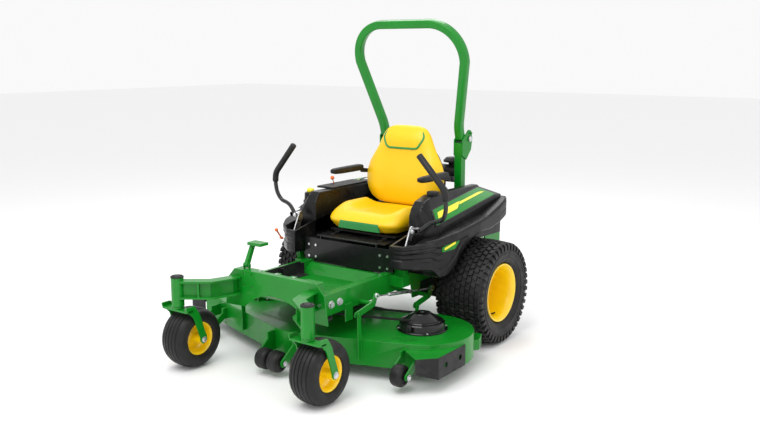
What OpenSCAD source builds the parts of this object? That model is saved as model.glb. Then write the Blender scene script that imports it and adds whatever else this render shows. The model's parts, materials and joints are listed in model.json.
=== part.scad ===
// Zero-turn riding mower with a mid-mounted, side-discharge deck and a folding roll hoop.
// Lengths are millimetres. X is the operator's left, the machine faces -Y and Z is up.
// The origin is on the ground under the middle of the machine's box, chute included.

/* [Overall] */
// Distance between the caster axles and the drive axle
wheelbase = 1325; // [1250:5:1600]
// Distance from the drive axle to the back of the engine guard
rear_reach = 600; // [560:5:720]
// Height of the top of the roll hoop
hoop_top_z = 1890; // [1750:5:2100]
// Distance between the two outer spindles of the deck
spindle_span = 1150; // [1000:5:1180]

/* [Drive wheels] */
// Outer radius of a drive tyre
tyre_r = 305; // [290:1:310]
// Width of a drive tyre
tyre_w = 305; // [250:1:310]
// Distance between the middles of the drive tyres
drive_track = 1224; // [1200:2:1300]
// Radius of the drive rim where the tyre seats
rim_r = 166; // [140:1:175]

/* [Casters] */
// Outer radius of a caster tyre
caster_r = 165; // [135:1:170]
// Width of a caster tyre
caster_w = 165; // [130:1:170]
// Distance between the two caster pivots
caster_track = 910; // [860:2:1000]
// Distance that a caster axle trails behind its pivot
caster_trail = 85; // [70:1:100]
// Radius of the caster rim where the tyre seats
caster_rim_r = 89; // [75:1:95]

/* [Frame] */
// Half the distance between the outer faces of the rails
rail_x = 312; // [290:1:320]
// Width of a rail
rail_w = 50; // [40:1:60]
// Height of a rail
rail_h = 112; // [90:1:130]
// Height of the underside of the rails
rail_z = 356; // [350:1:365]
// Thickness of the frame plates
plate_t = 10; // [6:1:14]

/* [Deck] */
// Radius of the deck shell round each spindle
lobe_r = 282; // [270:1:286]
// Thickness of the deck plate
deck_t = 6; // [4:0.5:8]
// Height of the lower edge of the deck skirt
skirt_z = 75; // [60:1:90]
// Height of the top of the deck shell
deck_top_z = 215; // [200:1:220]
// Length of a blade
blade_len = 536; // [480:1:548]
// Radius of an anti-scalp wheel
roller_r = 57; // [45:1:60]
// Reach of the discharge chute from the machine's middle
chute_reach = 985; // [930:5:1100]

/* [Seat] */
// Width of the seat cushion
seat_w = 540; // [480:2:560]
// Height of the underside of the seat cushion
seat_z = 642; // [638:1:660]
// Length of the seat cushion
seat_l = 460; // [420:2:480]
// Height of the top of the backrest
back_top_z = 1252; // [1150:2:1300]

/* [Roll hoop] */
// Side of the square roll-hoop tube
tube = 50; // [40:1:55]
// Half the distance between the outer faces of the hoop at its widest
hoop_x = 412; // [380:2:440]
// Radius of the hoop's top corners, on the middle of the tube
hoop_corner_r = 215; // [150:5:240]
// Forward lean of the hoop in degrees
hoop_lean = 16; // [5:1:20]

/* [Controls] */
// Diameter of the steering lever tube
lever_d = 25; // [19:1:28]
// Diameter of the steering lever grip
grip_d = 34; // [30:1:40]

/* [Hidden] */
$fn = 64;
axle_y = (wheelbase + caster_r - rear_reach) / 2;
bumper_x = spindle_span / 2 + lobe_r + 8;
mid_x = (chute_reach - bumper_x) / 2;
front_y = -wheelbase;
run = 0.05;
gap = 0.3;
ease = 0.4;
green = [0.06, 0.50, 0.20];
yellow = [1, 0.85, 0];
black = [0.08, 0.08, 0.09];
steel = [0.72, 0.72, 0.74];

axle_z = tyre_r;
wheel_x = drive_track / 2;
rim_face_x = wheel_x + 125;
disc_x = wheel_x - 60;
hub_r = 60;
axle_r = 20;
hydro_x = wheel_x - tyre_w / 2 - 16;

caster_x = caster_track / 2;
pivot_y = front_y - caster_trail;
caster_z = caster_r;
pivot_r = 34;
pivot_z = [caster_z + 193, caster_z + 350];
spindle_r = 19;
caster_axle_r = 8;
leg_x = caster_w / 2 + 8;
leg_t = 9;

cross_y = front_y + 175;
cross_z = [326, 536];
arch_r = 318;
arch_top = 420;
rail_in = rail_x - rail_w;
rail_top = rail_z + rail_h;
rail_end = 480;
acc_x = -190;
acc_z = 485;
acc_dx = 60;
acc_dz = 66;
acc_r = 5;

box_y = -520;
box_top = 600;
floor_z = 402;
floor_t = 5;

lift = 60;
side_x = spindle_span / 2;
side_y = front_y + 725;
mid_y = front_y + 535;
spindles = [[-side_x, side_y], [0, mid_y], [side_x, side_y]];
shaft_r = 17.5;
pulley_r = 72;
pulley_z = deck_top_z + 51;
belt_t = 12;
cover_r = 139;
cover_top = deck_top_z + 92;
chute_x = -side_x - lobe_r - 4;
chute_y = [side_y - 240, side_y + 40];
scalp_x = side_x + 117;
scalp_y = side_y - 385;
scalp_z = roller_r + 33;
roller_y = mid_y - 395;
roller_z = roller_r + 28;
roller_w = 76;

rock_front = [front_y + 510, rail_z + 12];
rock_rear = [-265, 296];
rock_r = 12;
arm_len = 150;
arm_drop = 10;
crank = [20, 40];
arm_x = 408;
strap_x = 420;
link_x = arm_x + 0.5;

tilt_y = box_y + 10;
tilt_z = box_top + 16;
pan_z = seat_z - 12;
seat_y = -395;
back_y = 12;
back_t = 92;
back_lean = 6;
arm_pivot = [146, 926];
arm_in = 298;

post_x = 284;
post_y = 262;
hinge_z = 1150;
hinge_y = post_y + tube / 2 + 26;
hoop_straight = 76;
hoop_bend = 490;
hoop_side = hoop_x - tube / 2;
hoop_up = (hoop_top_z - hinge_z - 12 - tube / 2 * sin(hoop_lean)) / cos(hoop_lean) - tube / 2;
engine_y = [200, 440];
blower_y = 345;

pod_in = 345;
pod_top = [[-590, 640], [-434, 672], [40, 745], [305, 826]];
arch_clear = 52;
lever_y = -520;
lever_z = 590;
lever_x = 404;
swing = [430, -458, 716];
lever_path = [[462, -458, 722], [520, -432, 768], [596, -430, 785], [616, -438, 826], [621, -448, 900]];
grip_path = [[621, -448, 900], [612, -450, 965], [455, -460, 1137]];
knob = [-472, -289];
knob_z = 828;
panel_top = 858;
throttle = [-455, -75];
brake = [-500, -536, 572];
cap_at = [398, -228];
cap_z = 884;
pedal = [-234, cross_y + 42, 556];

// Moves a shape drawn from the drive axle to its place.
module on_axle() { translate([mid_x, axle_y, 0]) children(); }

// Draws the shape on the operator's left and its mirror image on the right.
module both_sides() {
    children();
    mirror([1, 0, 0]) children();
}

// A cylinder along X, from x0 to x1, through the point (y, z).
module bar_x(x0, x1, y, z, r) {
    translate([x0, y, z]) rotate([0, 90, 0]) cylinder(r = r, h = x1 - x0);
}

// A round rod from p to q.
module rod(p, q, r) {
    d = q - p;
    translate(p) rotate([0, acos(d[2] / norm(d)), atan2(d[1], d[0])]) cylinder(r = r, h = norm(d));
}

// A round tube that bends at each point of a path.
module bent_rod(path, r) {
    for (i = [0 : len(path) - 2]) rod(path[i], path[i + 1], r);
    for (i = [0 : len(path) - 1]) translate(path[i]) sphere(r = r + 1.5);
}

// A flat strip from p to q with round ends.
module strip(p, q, w) {
    d = q - p;
    translate(p) rotate(atan2(d[1], d[0])) translate([0, -w / 2]) square([norm(d), w]);
    for (c = [p, q]) translate(c) circle(d = w - ease);
}

// A rectangle with round corners, about its middle.
module round_rect(w, h, r) {
    square([w - 2 * r, h], center = true);
    square([w, h - 2 * r], center = true);
    for (x = [-1, 1], y = [-1, 1]) translate([x * (w / 2 - r), y * (h / 2 - r)]) circle(r = r);
}

// Extrudes a shape drawn in Y and Z along X, from x0 to x1.
module along_x(x0, x1) {
    translate([x0, 0, 0]) rotate([90, 0, 90]) linear_extrude(x1 - x0) children();
}

// Extrudes a shape drawn in X and Z along Y, from y0 to y1.
module along_y(y0, y1) {
    translate([0, y1, 0]) rotate([90, 0, 0]) linear_extrude(y1 - y0) children();
}

// Turns a profile of (radius, x) about the X axis.
module turned_x() { rotate([0, 90, 0]) rotate_extrude() children(); }

// A box between two corners.
module block(a, b) { translate(a) cube(b - a); }

module hex_bolt(at, dir, r, h) {
    turn = dir == "x" ? [0, 90, 0] : dir == "y" ? [90, 0, 0] : [0, 0, 0];
    translate(at) rotate(turn) cylinder(r = r, h = h, $fn = 6);
}

// ---- frame ----
module rail() {
    difference() {
        block([rail_in, cross_y + plate_t, rail_z], [rail_x, rail_end, rail_top]);
        block([rail_in + 5, cross_y + plate_t + 5, rail_z + 5], [rail_x - 5, rail_end - 5, rail_top - 5]);
        bar_x(rail_in - 1, rail_x + 1, rock_front[0], rock_front[1] + 6, rock_r + run);
    }
    difference() {
        along_x(rail_x - 12, rail_x) polygon([[-310, rail_z], [-215, rail_z], [-235, rock_rear[1] - 24],
            [-295, rock_rear[1] - 24]]);
        bar_x(rail_in, rail_x + 1, rock_rear[0], rock_rear[1], rock_r + run);
    }
    block([rail_x - 1, cross_y + 205, 292], [rail_x + 8, cross_y + 266, rail_z + 30]);
    // Outrigger that carries the lever pivot and the console.
    difference() {
        union() {
            along_x(366, 396) strip([lever_y, lever_z], [lever_y + 26, 462], 40);
            block([rail_x - 1, lever_y - 10, rail_z + 40], [396, lever_y + 60, rail_top - 10]);
        }
        bar_x(360, 400, lever_y, lever_z, 10 + run);
    }
}

module main_frame() color(green) on_axle() {
    both_sides() rail();
    for (y = [-545, 60, 330])
        block([-rail_in - 1, y, rail_z + 24], [rail_in + 1, y + 50, rail_top - 30]);
    both_sides() {
        block([rail_x - 1, -488, rail_top - 40], [pod_in, -448, 570]);
        block([rail_x - 1, 110, rail_top - 40], [pod_in, 150, 740]);
    }
    block([-rail_in - 1, rail_end - 50, rail_z + 12], [rail_in + 1, rail_end, rail_top]);
}

module cross_outline() {
    difference() {
        polygon([[-362, cross_z[0]], [-340, 481], [-290, cross_z[1]], [290, cross_z[1]], [340, 481],
            [362, cross_z[0]], [200, cross_z[0] + 8], [-200, cross_z[0] + 8]]);
        translate([0, arch_top - arch_r]) circle(r = arch_r);
    }
}

module front_crossmember() color(green) on_axle() {
    difference() {
        along_y(cross_y, cross_y + plate_t) cross_outline();
        for (x = [-1, 1], z = [-1, 1])
            translate([acc_x + x * acc_dx / 2, cross_y - 1, acc_z + z * acc_dz / 2])
                rotate([-90, 0, 0]) cylinder(r = acc_r, h = plate_t + 2);
    }
    difference() {
        block([-290, cross_y + plate_t, cross_z[1] - 8], [290, cross_y + 62, cross_z[1]]);
        for (x = [-70, 40, 150])
            translate([x, cross_y + 62, cross_z[1] - 9]) linear_extrude(10) round_rect(74, 44, 10);
    }
    both_sides() block([282, cross_y + plate_t, rail_top], [290, cross_y + 62, cross_z[1] - 8]);
    // Ears that carry the pedal pivot.
    difference() {
        for (x = [pedal[0] - 22, pedal[0] + 14])
            along_x(x, x + 8) strip([pedal[1], pedal[2]], [pedal[1], cross_z[1] + 9], 18);
        bar_x(pedal[0] - 30, pedal[0] + 30, pedal[1], pedal[2], 6 + run);
    }
}

module arm_path(w) {
    strip([caster_x, pivot_y], [310, pivot_y + 105], w);
    strip([310, pivot_y + 105], [268, cross_y - 34], w);
    translate([268 - w / 2, cross_y - 35]) square([w, 35]);
}

module caster_arms() color(green) on_axle() both_sides() difference() {
    union() {
        translate([caster_x, pivot_y, pivot_z[0]]) cylinder(r = pivot_r, h = pivot_z[1] - pivot_z[0]);
        translate([0, 0, 400]) linear_extrude(10) arm_path(66);
        translate([0, 0, 488]) linear_extrude(10) arm_path(66);
        translate([0, 0, 405]) linear_extrude(88) arm_path(12);
        translate([caster_x, pivot_y, pivot_z[1] - 1]) cylinder(r = pivot_r + 1, h = 6);
        translate([362, pivot_y + 68, 405]) rotate(-36) translate([-5, -30, 0]) cube([10, 60, 88]);
    }
    translate([caster_x, pivot_y, pivot_z[0] - 1])
        cylinder(r = spindle_r + run, h = pivot_z[1] - pivot_z[0] + 8);
}

// ---- footwell ----
module floor_pan() color(green) on_axle() {
    block([-rail_in, cross_y + plate_t, floor_z], [rail_in, -610, floor_z + floor_t]);
    along_x(-rail_in, rail_in) polygon([[-616, floor_z], [-610, floor_z], [-545, 450], [-527, 450], [-527, 456],
        [-549, 456], [-614, floor_z + floor_t]]);
    for (i = [0 : 6])
        block([-170, cross_y + 90 + 55 * i, floor_z + floor_t], [170, cross_y + 96 + 55 * i, floor_z + 8]);
}

module footwell_liner() color(black) on_axle() {
    x = -rail_in + gap;
    z0 = floor_z + floor_t;
    block([x, cross_y + 190, z0], [x + 5, -640, rail_top + 12]);
    block([x + 5, cross_y + 190, z0], [x + 70, -640, z0 + 4]);
    for (y = [cross_y + 190, cross_y + 330, -645]) block([x + 5, y, z0 + 4], [x + 34, y + 5, rail_top + 6]);
}

module seat_box() color(black) on_axle() {
    difference() {
        block([-rail_x - 10, box_y, 458], [rail_x + 10, box_y + 5, box_top]);
        both_sides() block([rail_in - 2, box_y - 1, 450], [rail_x + 12, box_y + 6, rail_top]);
    }
    both_sides() block([rail_x - 10, box_y + 5, rail_top], [rail_x - 5, -70, box_top - 8]);
    block([-rail_x + 5, -75, rail_top], [rail_x - 5, -70, box_top - 8]);
    both_sides() block([rail_x - 40, box_y + 5, box_top - 8], [rail_x - 5, -71, box_top - 4]);
    // Ears of the seat hinge.
    difference() {
        both_sides() along_x(200, 208) strip([tilt_y, tilt_z], [tilt_y, box_top - 12], 16);
        bar_x(-220, 220, tilt_y, tilt_z, 5 + run);
    }
    both_sides() block([196, box_y + 5, box_top - 24], [212, box_y + 18, box_top - 14]);
}

module fasteners() color(steel) on_axle() {
    both_sides() {
        for (y = [cross_y + 90, cross_y + 160]) {
            hex_bolt([rail_x, y, rail_z + 56], "x", 17, 13);
            bar_x(rail_x, rail_x + 3, y, rail_z + 56, 21);
        }
        for (x = [236, 288], z = [490, 560]) hex_bolt([x, box_y, z], "y", 8, 7);
        hex_bolt([312, cross_y, 430], "y", 10, 8);
    }
    for (x = [-120, 0, 120]) hex_bolt([x, cross_y + 24, cross_z[1]], "z", 8, 6);
}

// ---- consoles and tanks ----
module pod_profile() {
    polygon(concat([[-590, 505]], pod_top, [[310, 722], [180, 684], [-150, 620], [-362, 452], [-418, 446], [-446, 520]]));
}

module pod_plan() {
    polygon([[pod_in, -590], [440, -566], [520, -500], [565, -430], [604, -280], [622, -60], [622, 180], [600, 306],
        [pod_in, 312]]);
}

// Well through the console for the steering lever's base.
module lever_well() { block([358, -572, 440], [470, -398, 700]); }

module pod() {
    difference() {
        intersection() {
            along_x(pod_in, 640) pod_profile();
            translate([0, 0, 400]) linear_extrude(500) pod_plan();
        }
        bar_x(pod_in - 1, 700, 0, axle_z, tyre_r + arch_clear);
        lever_well();
    }
}

module console_left() color(black) on_axle() pod();

module console_right() color(black) on_axle() {
    mirror([1, 0, 0]) pod();
    difference() {
        for (dx = [-14, 8]) translate([brake[0] + dx, 0, 0]) block([0, brake[1] - 8, brake[2] - 9], [6, -505, brake[2] + 9]);
        bar_x(brake[0] - 20, brake[0] + 20, brake[1], brake[2], 4 + run);
        mirror([1, 0, 0]) pod();
    }
}

// Cross-section of a tank at one station along Y.
module tank_slice(y, pts) { along_y(y, y + 1) polygon(pts); }

module tank_body() {
    difference() {
        hull() {
            tank_slice(-388, [[pod_in, 600], [pod_in, 822], [400, 828], [430, 810], [512, 716], [520, 600]]);
            tank_slice(-250, [[pod_in, 600], [pod_in, 884], [425, 884], [456, 815], [546, 735], [546, 600]]);
            tank_slice(298, [[pod_in, 600], [pod_in, 884], [410, 872], [548, 840], [594, 826], [594, 600]]);
        }
        along_x(pod_in - 1, 640) polygon(concat([[-600, 500], [-600, 640]], pod_top, [[310, 500]]));
        lever_well();
    }
}

module fuel_tank_left() color(black) on_axle() difference() {
    tank_body();
    translate([cap_at[0], cap_at[1], cap_z - 20]) cylinder(r = 24 + run, h = 30);
}

module fuel_tank_right() color(black) on_axle() difference() {
    union() {
        intersection() {
            mirror([1, 0, 0]) tank_body();
            block([-640, -400, 600], [-300, 320, panel_top - 12]);
        }
        translate([knob[0], knob[1], 770]) cylinder(r = 34, h = knob_z - 770);
    }
    translate([knob[0], knob[1], knob_z - 30]) cylinder(r = 7 + run, h = 40);
    translate([knob[0], knob[1], knob_z]) cylinder(r = 36, h = 60);
}

module control_panel() color(black) on_axle() difference() {
    block([-480, -215, panel_top - 12], [-352, 150, panel_top]);
    block([throttle[0] - 5, throttle[1] - 32, panel_top - 10], [throttle[0] + 5, throttle[1] + 32, panel_top + 1]);
    bar_x(throttle[0] - 12, throttle[0] + 12, throttle[1], panel_top - 6, 2 + run);
}

// ---- engine and drives ----
module engine() color(black) on_axle() {
    block([-150, engine_y[0], rail_top], [150, engine_y[1], 640]);
    translate([0, blower_y, 640]) cylinder(r = 148, h = 130);
    translate([0, blower_y, 770]) cylinder(r1 = 148, r2 = 122, h = 50);
    translate([0, blower_y, 820]) cylinder(r = 112, h = 14);
    for (s = [-1, 1], i = [0 : 6])
        block([s > 0 ? 150 : -236, 296, 500 + 20 * i], [s > 0 ? 236 : -150, 420, 508 + 20 * i]);
    for (s = [-1, 1]) block([s > 0 ? 150 : -220, 310, 496], [s > 0 ? 220 : -150, 406, 636]);
}

module air_cleaner() color(black) on_axle() {
    bar_x(40, 236, 330, 930, 56);
    bar_x(30, 40, 330, 930, 62);
    translate([190, 330, 980]) cylinder(r = 26, h = 24);
    translate([190, 330, 1004]) cylinder(r = 58, h = 12);
    translate([190, 330, 1016]) cylinder(r1 = 58, r2 = 40, h = 18);
    block([58, 300, 834], [96, 360, 884]);
}

module muffler() color(steel) on_axle() {
    bar_x(-200, 150, 512, 560, 56);
    bar_x(-250, -200, 512, 560, 20);
    for (x = [-130, 40]) block([x, engine_y[1], 545], [x + 60, 480, 575]);
}

module engine_guard() color(green) on_axle() {
    both_sides() {
        difference() {
            along_x(388, 398) polygon([[400, 430], [rear_reach, 430], [rear_reach, 520], [rear_reach - 60, 740],
                [430, 740], [400, 560]]);
            bar_x(380, 400, 500, 600, 34);
        }
        block([rail_x, 400, 430], [388, 440, 468]);
    }
    block([-388, rear_reach - 50, 430], [388, rear_reach, 480]);
    difference() {
        block([-60, rail_end, 440], [60, rear_reach - 50, 452]);
        translate([0, 520, 439]) cylinder(r = 9.5, h = 14);
    }
}

module hydro_drives() color(black) on_axle() both_sides() difference() {
    union() {
        block([200, -95, 236], [rail_x + 30, 95, rail_z]);
        block([150, -60, 250], [200, 60, 330]);
        bar_x(rail_x + 30, hydro_x, 0, axle_z, 46);
    }
    bar_x(rail_x - 40, hydro_x + 1, 0, axle_z, axle_r + run);
}

module battery() color(black) on_axle() {
    block([-100, 60 - 260, rail_top - 30 + gap], [100, -70 - 5, 560]);
    for (x = [-70, 70]) translate([x, -140, 560]) cylinder(r = 9, h = 16);
}

// ---- roll structure ----
module rops_posts() color(green) on_axle() both_sides() {
    difference() {
        block([post_x - tube / 2, post_y - tube / 2, rail_top], [post_x + tube / 2, post_y + tube / 2, hinge_z - 14]);
        block([post_x - tube / 2 + 5, post_y - tube / 2 + 5, rail_top + 5],
            [post_x + tube / 2 - 5, post_y + tube / 2 - 5, hinge_z - 19]);
    }
    difference() {
        for (x = [post_x - tube / 2 - 8 - gap, post_x + tube / 2 + gap])
            along_x(x, x + 8) polygon([[post_y - tube / 2, hinge_z - 90], [post_y + tube / 2, hinge_z - 120],
                [hinge_y + 30, hinge_z - 60], [hinge_y + 44, hinge_z + 10], [hinge_y + 26, hinge_z + 60],
                [hinge_y - 6, hinge_z + 66], [post_y - tube / 2, hinge_z + 6]]);
        bar_x(post_x - 60, post_x + 60, hinge_y + 4, hinge_z + 8, 9 + run);
    }
    bar_x(post_x - tube / 2 - gap, post_x + tube / 2 + gap, post_y, hinge_z - 60, 8);
    bar_x(post_x + tube / 2 + 8 + gap, post_x + tube / 2 + 20, hinge_y + 14, hinge_z + 44, 8);
}

// Half of the hoop, drawn flat with Y up the hoop.
module hoop_half() {
    h = tube / 2;
    mitre = h * tan(atan2(hoop_side - post_x, hoop_bend - hoop_straight) / 2);
    shoulder = hoop_up - hoop_corner_r;
    translate([0, 0, -h]) linear_extrude(tube) polygon([[post_x + h, 0], [post_x + h, hoop_straight - mitre],
        [hoop_side + h, hoop_bend - mitre], [hoop_side + h, shoulder], [hoop_side - h, shoulder],
        [hoop_side - h, hoop_bend + mitre], [post_x - h, hoop_straight + mitre], [post_x - h, 0]]);
    translate([hoop_side - hoop_corner_r, shoulder, 0])
        rotate_extrude(angle = 90) translate([hoop_corner_r - h, -h]) square(tube);
    block([-1, hoop_up - h, -h], [hoop_side - hoop_corner_r, hoop_up + h, h]);
}

module rops_hoop() color(green) on_axle() both_sides() {
    translate([0, post_y, hinge_z + 12]) rotate([90 + hoop_lean, 0, 0]) hoop_half();
    along_x(post_x - tube / 2 + 1, post_x + tube / 2 - 1) polygon([[post_y - 10, hinge_z + 20], [post_y + 34, hinge_z - 12],
        [hinge_y + 10, hinge_z - 12], [hinge_y + 24, hinge_z + 2], [hinge_y + 24, hinge_z + 16],
        [hinge_y - 4, hinge_z + 36], [post_y, hinge_z + 40]]);
    bar_x(post_x - 40, post_x + 40, hinge_y + 4, hinge_z + 8, 9);
}

// ---- wheels ----
module tyre(r, w, bore, corner) {
    turned_x() difference() {
        translate([bore + (r - bore) / 2, 0]) round_rect(r - bore, w, corner);
        translate([0, -w]) square([1, 2 * w]);
    }
}

module drive_tyre(s) color(black) on_axle() translate([s * wheel_x, 0, axle_z]) tyre(tyre_r, tyre_w, rim_r, 42);
module drive_tyre_left() drive_tyre(1);
module drive_tyre_right() drive_tyre(-1);

module drive_rim() {
    translate([0, 0, axle_z]) difference() {
        union() {
            bar_x(wheel_x - tyre_w / 2 + 14, rim_face_x, 0, 0, rim_r);
        }
        bar_x(disc_x + 8, rim_face_x + 10, 0, 0, rim_r - 8);
        bar_x(wheel_x - 160, disc_x - 4, 0, 0, rim_r - 8);
        for (a = [0 : 45 : 315]) rotate([a, 0, 0]) bar_x(disc_x - 10, disc_x + 10, 105, 0, 16);
    }
    translate([0, 0, axle_z]) {
        bar_x(disc_x + 8, disc_x + 32, 0, 0, 38);
        for (a = [0 : 72 : 288]) rotate([a, 0, 0]) hex_bolt([disc_x + 8, 58, 0], "x", 11, 16);
        bar_x(hydro_x + gap, disc_x - 4, 0, 0, hub_r);
        bar_x(rail_x - 30, hydro_x + gap, 0, 0, axle_r);
    }
}
module drive_rim_left() color(yellow) on_axle() drive_rim();
module drive_rim_right() color(yellow) on_axle() mirror([1, 0, 0]) drive_rim();

module fork() {
    translate([caster_x, 0, 0]) {
        translate([0, pivot_y, pivot_z[0] - 12 - gap]) cylinder(r = 30, h = 12);
        translate([0, pivot_y, pivot_z[0] - 13]) cylinder(r = spindle_r, h = pivot_z[1] - pivot_z[0] + 8);
        block([-leg_x - leg_t, pivot_y - 30, pivot_z[0] - 24], [leg_x + leg_t, pivot_y + 30, pivot_z[0] - 12 - gap]);
        difference() {
            for (x = [-leg_x - leg_t, leg_x])
                along_x(x, x + leg_t) {
                    strip([pivot_y + 8, pivot_z[0] - 34], [front_y, caster_z], 42);
                    translate([pivot_y - 13, pivot_z[0] - 44]) square([42, 30]);
                }
            bar_x(-leg_x - 20, leg_x + 20, front_y, caster_z, caster_axle_r + run);
        }
        bar_x(-leg_x - leg_t - 2, leg_x + leg_t + 2, front_y, caster_z, caster_axle_r);
        hex_bolt([leg_x + leg_t, front_y, caster_z], "x", 14, 10);
        hex_bolt([-leg_x - leg_t - 10, front_y, caster_z], "x", 14, 10);
    }
}
module fork_left() color(green) on_axle() fork();
module fork_right() color(green) on_axle() mirror([1, 0, 0]) fork();

module caster_tyre(s) color(black) on_axle() translate([s * caster_x, front_y, caster_z])
    tyre(caster_r, caster_w, caster_rim_r, 36);
module caster_tyre_left() caster_tyre(1);
module caster_tyre_right() caster_tyre(-1);

module caster_rim(s) color(yellow) on_axle() translate([s * caster_x, front_y, caster_z]) difference() {
    union() {
        bar_x(-60, 60, 0, 0, caster_rim_r);
        for (x = [-66, 60]) bar_x(x, x + 6, 0, 0, caster_rim_r - 2);
        bar_x(-leg_x + gap, leg_x - gap, 0, 0, 26);
    }
    for (x = [-70, 12]) difference() {
        bar_x(x, x + 58, 0, 0, caster_rim_r - 7);
        bar_x(x - 1, x + 59, 0, 0, 26);
    }
    bar_x(-leg_x, leg_x, 0, 0, caster_axle_r + run);
}
module caster_rim_left() caster_rim(1);
module caster_rim_right() caster_rim(-1);

// ---- steering levers ----
module lever_base() {
    bar_x(364, lever_x, lever_y, lever_z, 10);
    difference() {
        union() {
            along_x(lever_x, lever_x + 8) strip([lever_y, lever_z], [swing[1], swing[2]], 44);
            translate([swing[0], swing[1] - 24, swing[2]]) rotate([-90, 0, 0]) cylinder(r = 16, h = 48);
            block([lever_x + 8, swing[1] - 24, swing[2] - 8], [swing[0], swing[1] + 24, swing[2] + 8]);
        }
        translate([swing[0], swing[1] - 30, swing[2]]) rotate([-90, 0, 0]) cylinder(r = 8 + run, h = 60);
    }
}
module lever_base_left() color(steel) on_axle() lever_base();
module lever_base_right() color(steel) on_axle() mirror([1, 0, 0]) lever_base();

module lever() {
    for (y = [swing[1] - 31, swing[1] + 24 + gap]) {
        translate([swing[0], y, swing[2]]) rotate([-90, 0, 0]) cylinder(r = 14, h = 6.7);
        block([swing[0], y, swing[2] - 8], [swing[0] + 34, y + 6.7, swing[2] + 12]);
    }
    translate([swing[0], swing[1] - 31, swing[2]]) rotate([-90, 0, 0]) cylinder(r = 8, h = 62);
    block([swing[0] + 20, swing[1] - 31, swing[2] - 8], [swing[0] + 34, swing[1] + 31, swing[2] + 12]);
    bent_rod(lever_path, lever_d / 2);
    bent_rod(grip_path, grip_d / 2);
}
module lever_left() color(black) on_axle() lever();
module lever_right() color(black) on_axle() mirror([1, 0, 0]) lever();

// ---- seat ----
module seat_platform() color(black) on_axle() {
    bar_x(-214, 214, tilt_y, tilt_z, 5);
    block([-196, tilt_y, tilt_z - 4], [196, tilt_y + 20, tilt_z + 2]);
    block([-250, tilt_y + 14, tilt_z - 4], [250, -90, tilt_z + 2]);
    both_sides() block([160, -440, tilt_z + 2], [190, -100, tilt_z + 8]);
}

// Rear face of the seat back at height z.
function back_face(z) = back_y + back_t / cos(back_lean) + gap + (z - seat_z - 120) * tan(back_lean);

module seat_pan() color(black) on_axle() {
    both_sides() block([158, -400, tilt_z + 8 + gap], [192, -140, pan_z]);
    block([-240, seat_y + 20, pan_z], [240, back_face(pan_z) + 8, seat_z - gap]);
    along_x(-250, 250) polygon([[back_face(pan_z), pan_z], [back_face(pan_z) + 12, pan_z],
        [back_face(1100) + 12, 1100], [back_face(1100), 1100]]);
    both_sides() difference() {
        union() {
            block([230, back_face(arm_pivot[1]) + 7, arm_pivot[1] - 15], [292, arm_pivot[0], arm_pivot[1] + 15]);
            bar_x(268, 292, arm_pivot[0], arm_pivot[1], 14);
        }
        bar_x(260, 300, arm_pivot[0], arm_pivot[1], 8 + run);
    }
}

module seat_cushion() color(yellow) on_axle() {
    cushion_h = 112;
    intersection() {
        along_x(-seat_w / 2, seat_w / 2) translate([seat_y + seat_l / 2, seat_z + cushion_h / 2])
            round_rect(seat_l, cushion_h, 38);
        translate([0, seat_y + seat_l / 2, seat_z]) linear_extrude(cushion_h) round_rect(seat_w, seat_l, 70);
    }
    both_sides() along_y(seat_y + 70, seat_y + seat_l - 90) translate([seat_w / 2 - 55, seat_z + cushion_h - 6])
        round_rect(104, 84, 38);
}

module seat_back() color(yellow) on_axle() {
    top = back_top_z - 70;
    translate([0, back_y, 0]) intersection() {
        translate([0, 0, seat_z + 120]) rotate([-back_lean, 0, 0]) translate([0, 0, -seat_z - 120])
            along_y(0, back_t) hull() for (p = [[190, 834], [228, 930], [190, 1060], [96, top - 14]], s = [-1, 1])
                translate([s * p[0], p[1]]) circle(r = 60, $fn = 32);
        block([-400, -200, 600], [400, 300, back_top_z]);
    }
}

module armrest() {
    along_x(arm_in, arm_in + 8) strip([arm_pivot[0], arm_pivot[1]], [40, 944], 26);
    bar_x(268, arm_in, arm_pivot[0], arm_pivot[1], 8);
    translate([arm_in + 24, -108, 946]) linear_extrude(34) round_rect(48, 304, 23);
}
module armrest_left() color(black) on_axle() armrest();
module armrest_right() color(black) on_axle() mirror([1, 0, 0]) armrest();

// ---- deck ----
module deck_outline(r) {
    strip(spindles[0], spindles[1], 2 * r);
    strip(spindles[1], spindles[2], 2 * r);
    translate([-side_x, mid_y]) square([spindle_span, side_y - mid_y + r - 90]);
    translate([-side_x - r, chute_y[0] + lobe_r - r]) square([r, side_y - chute_y[0] - lobe_r + r]);
}

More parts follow.
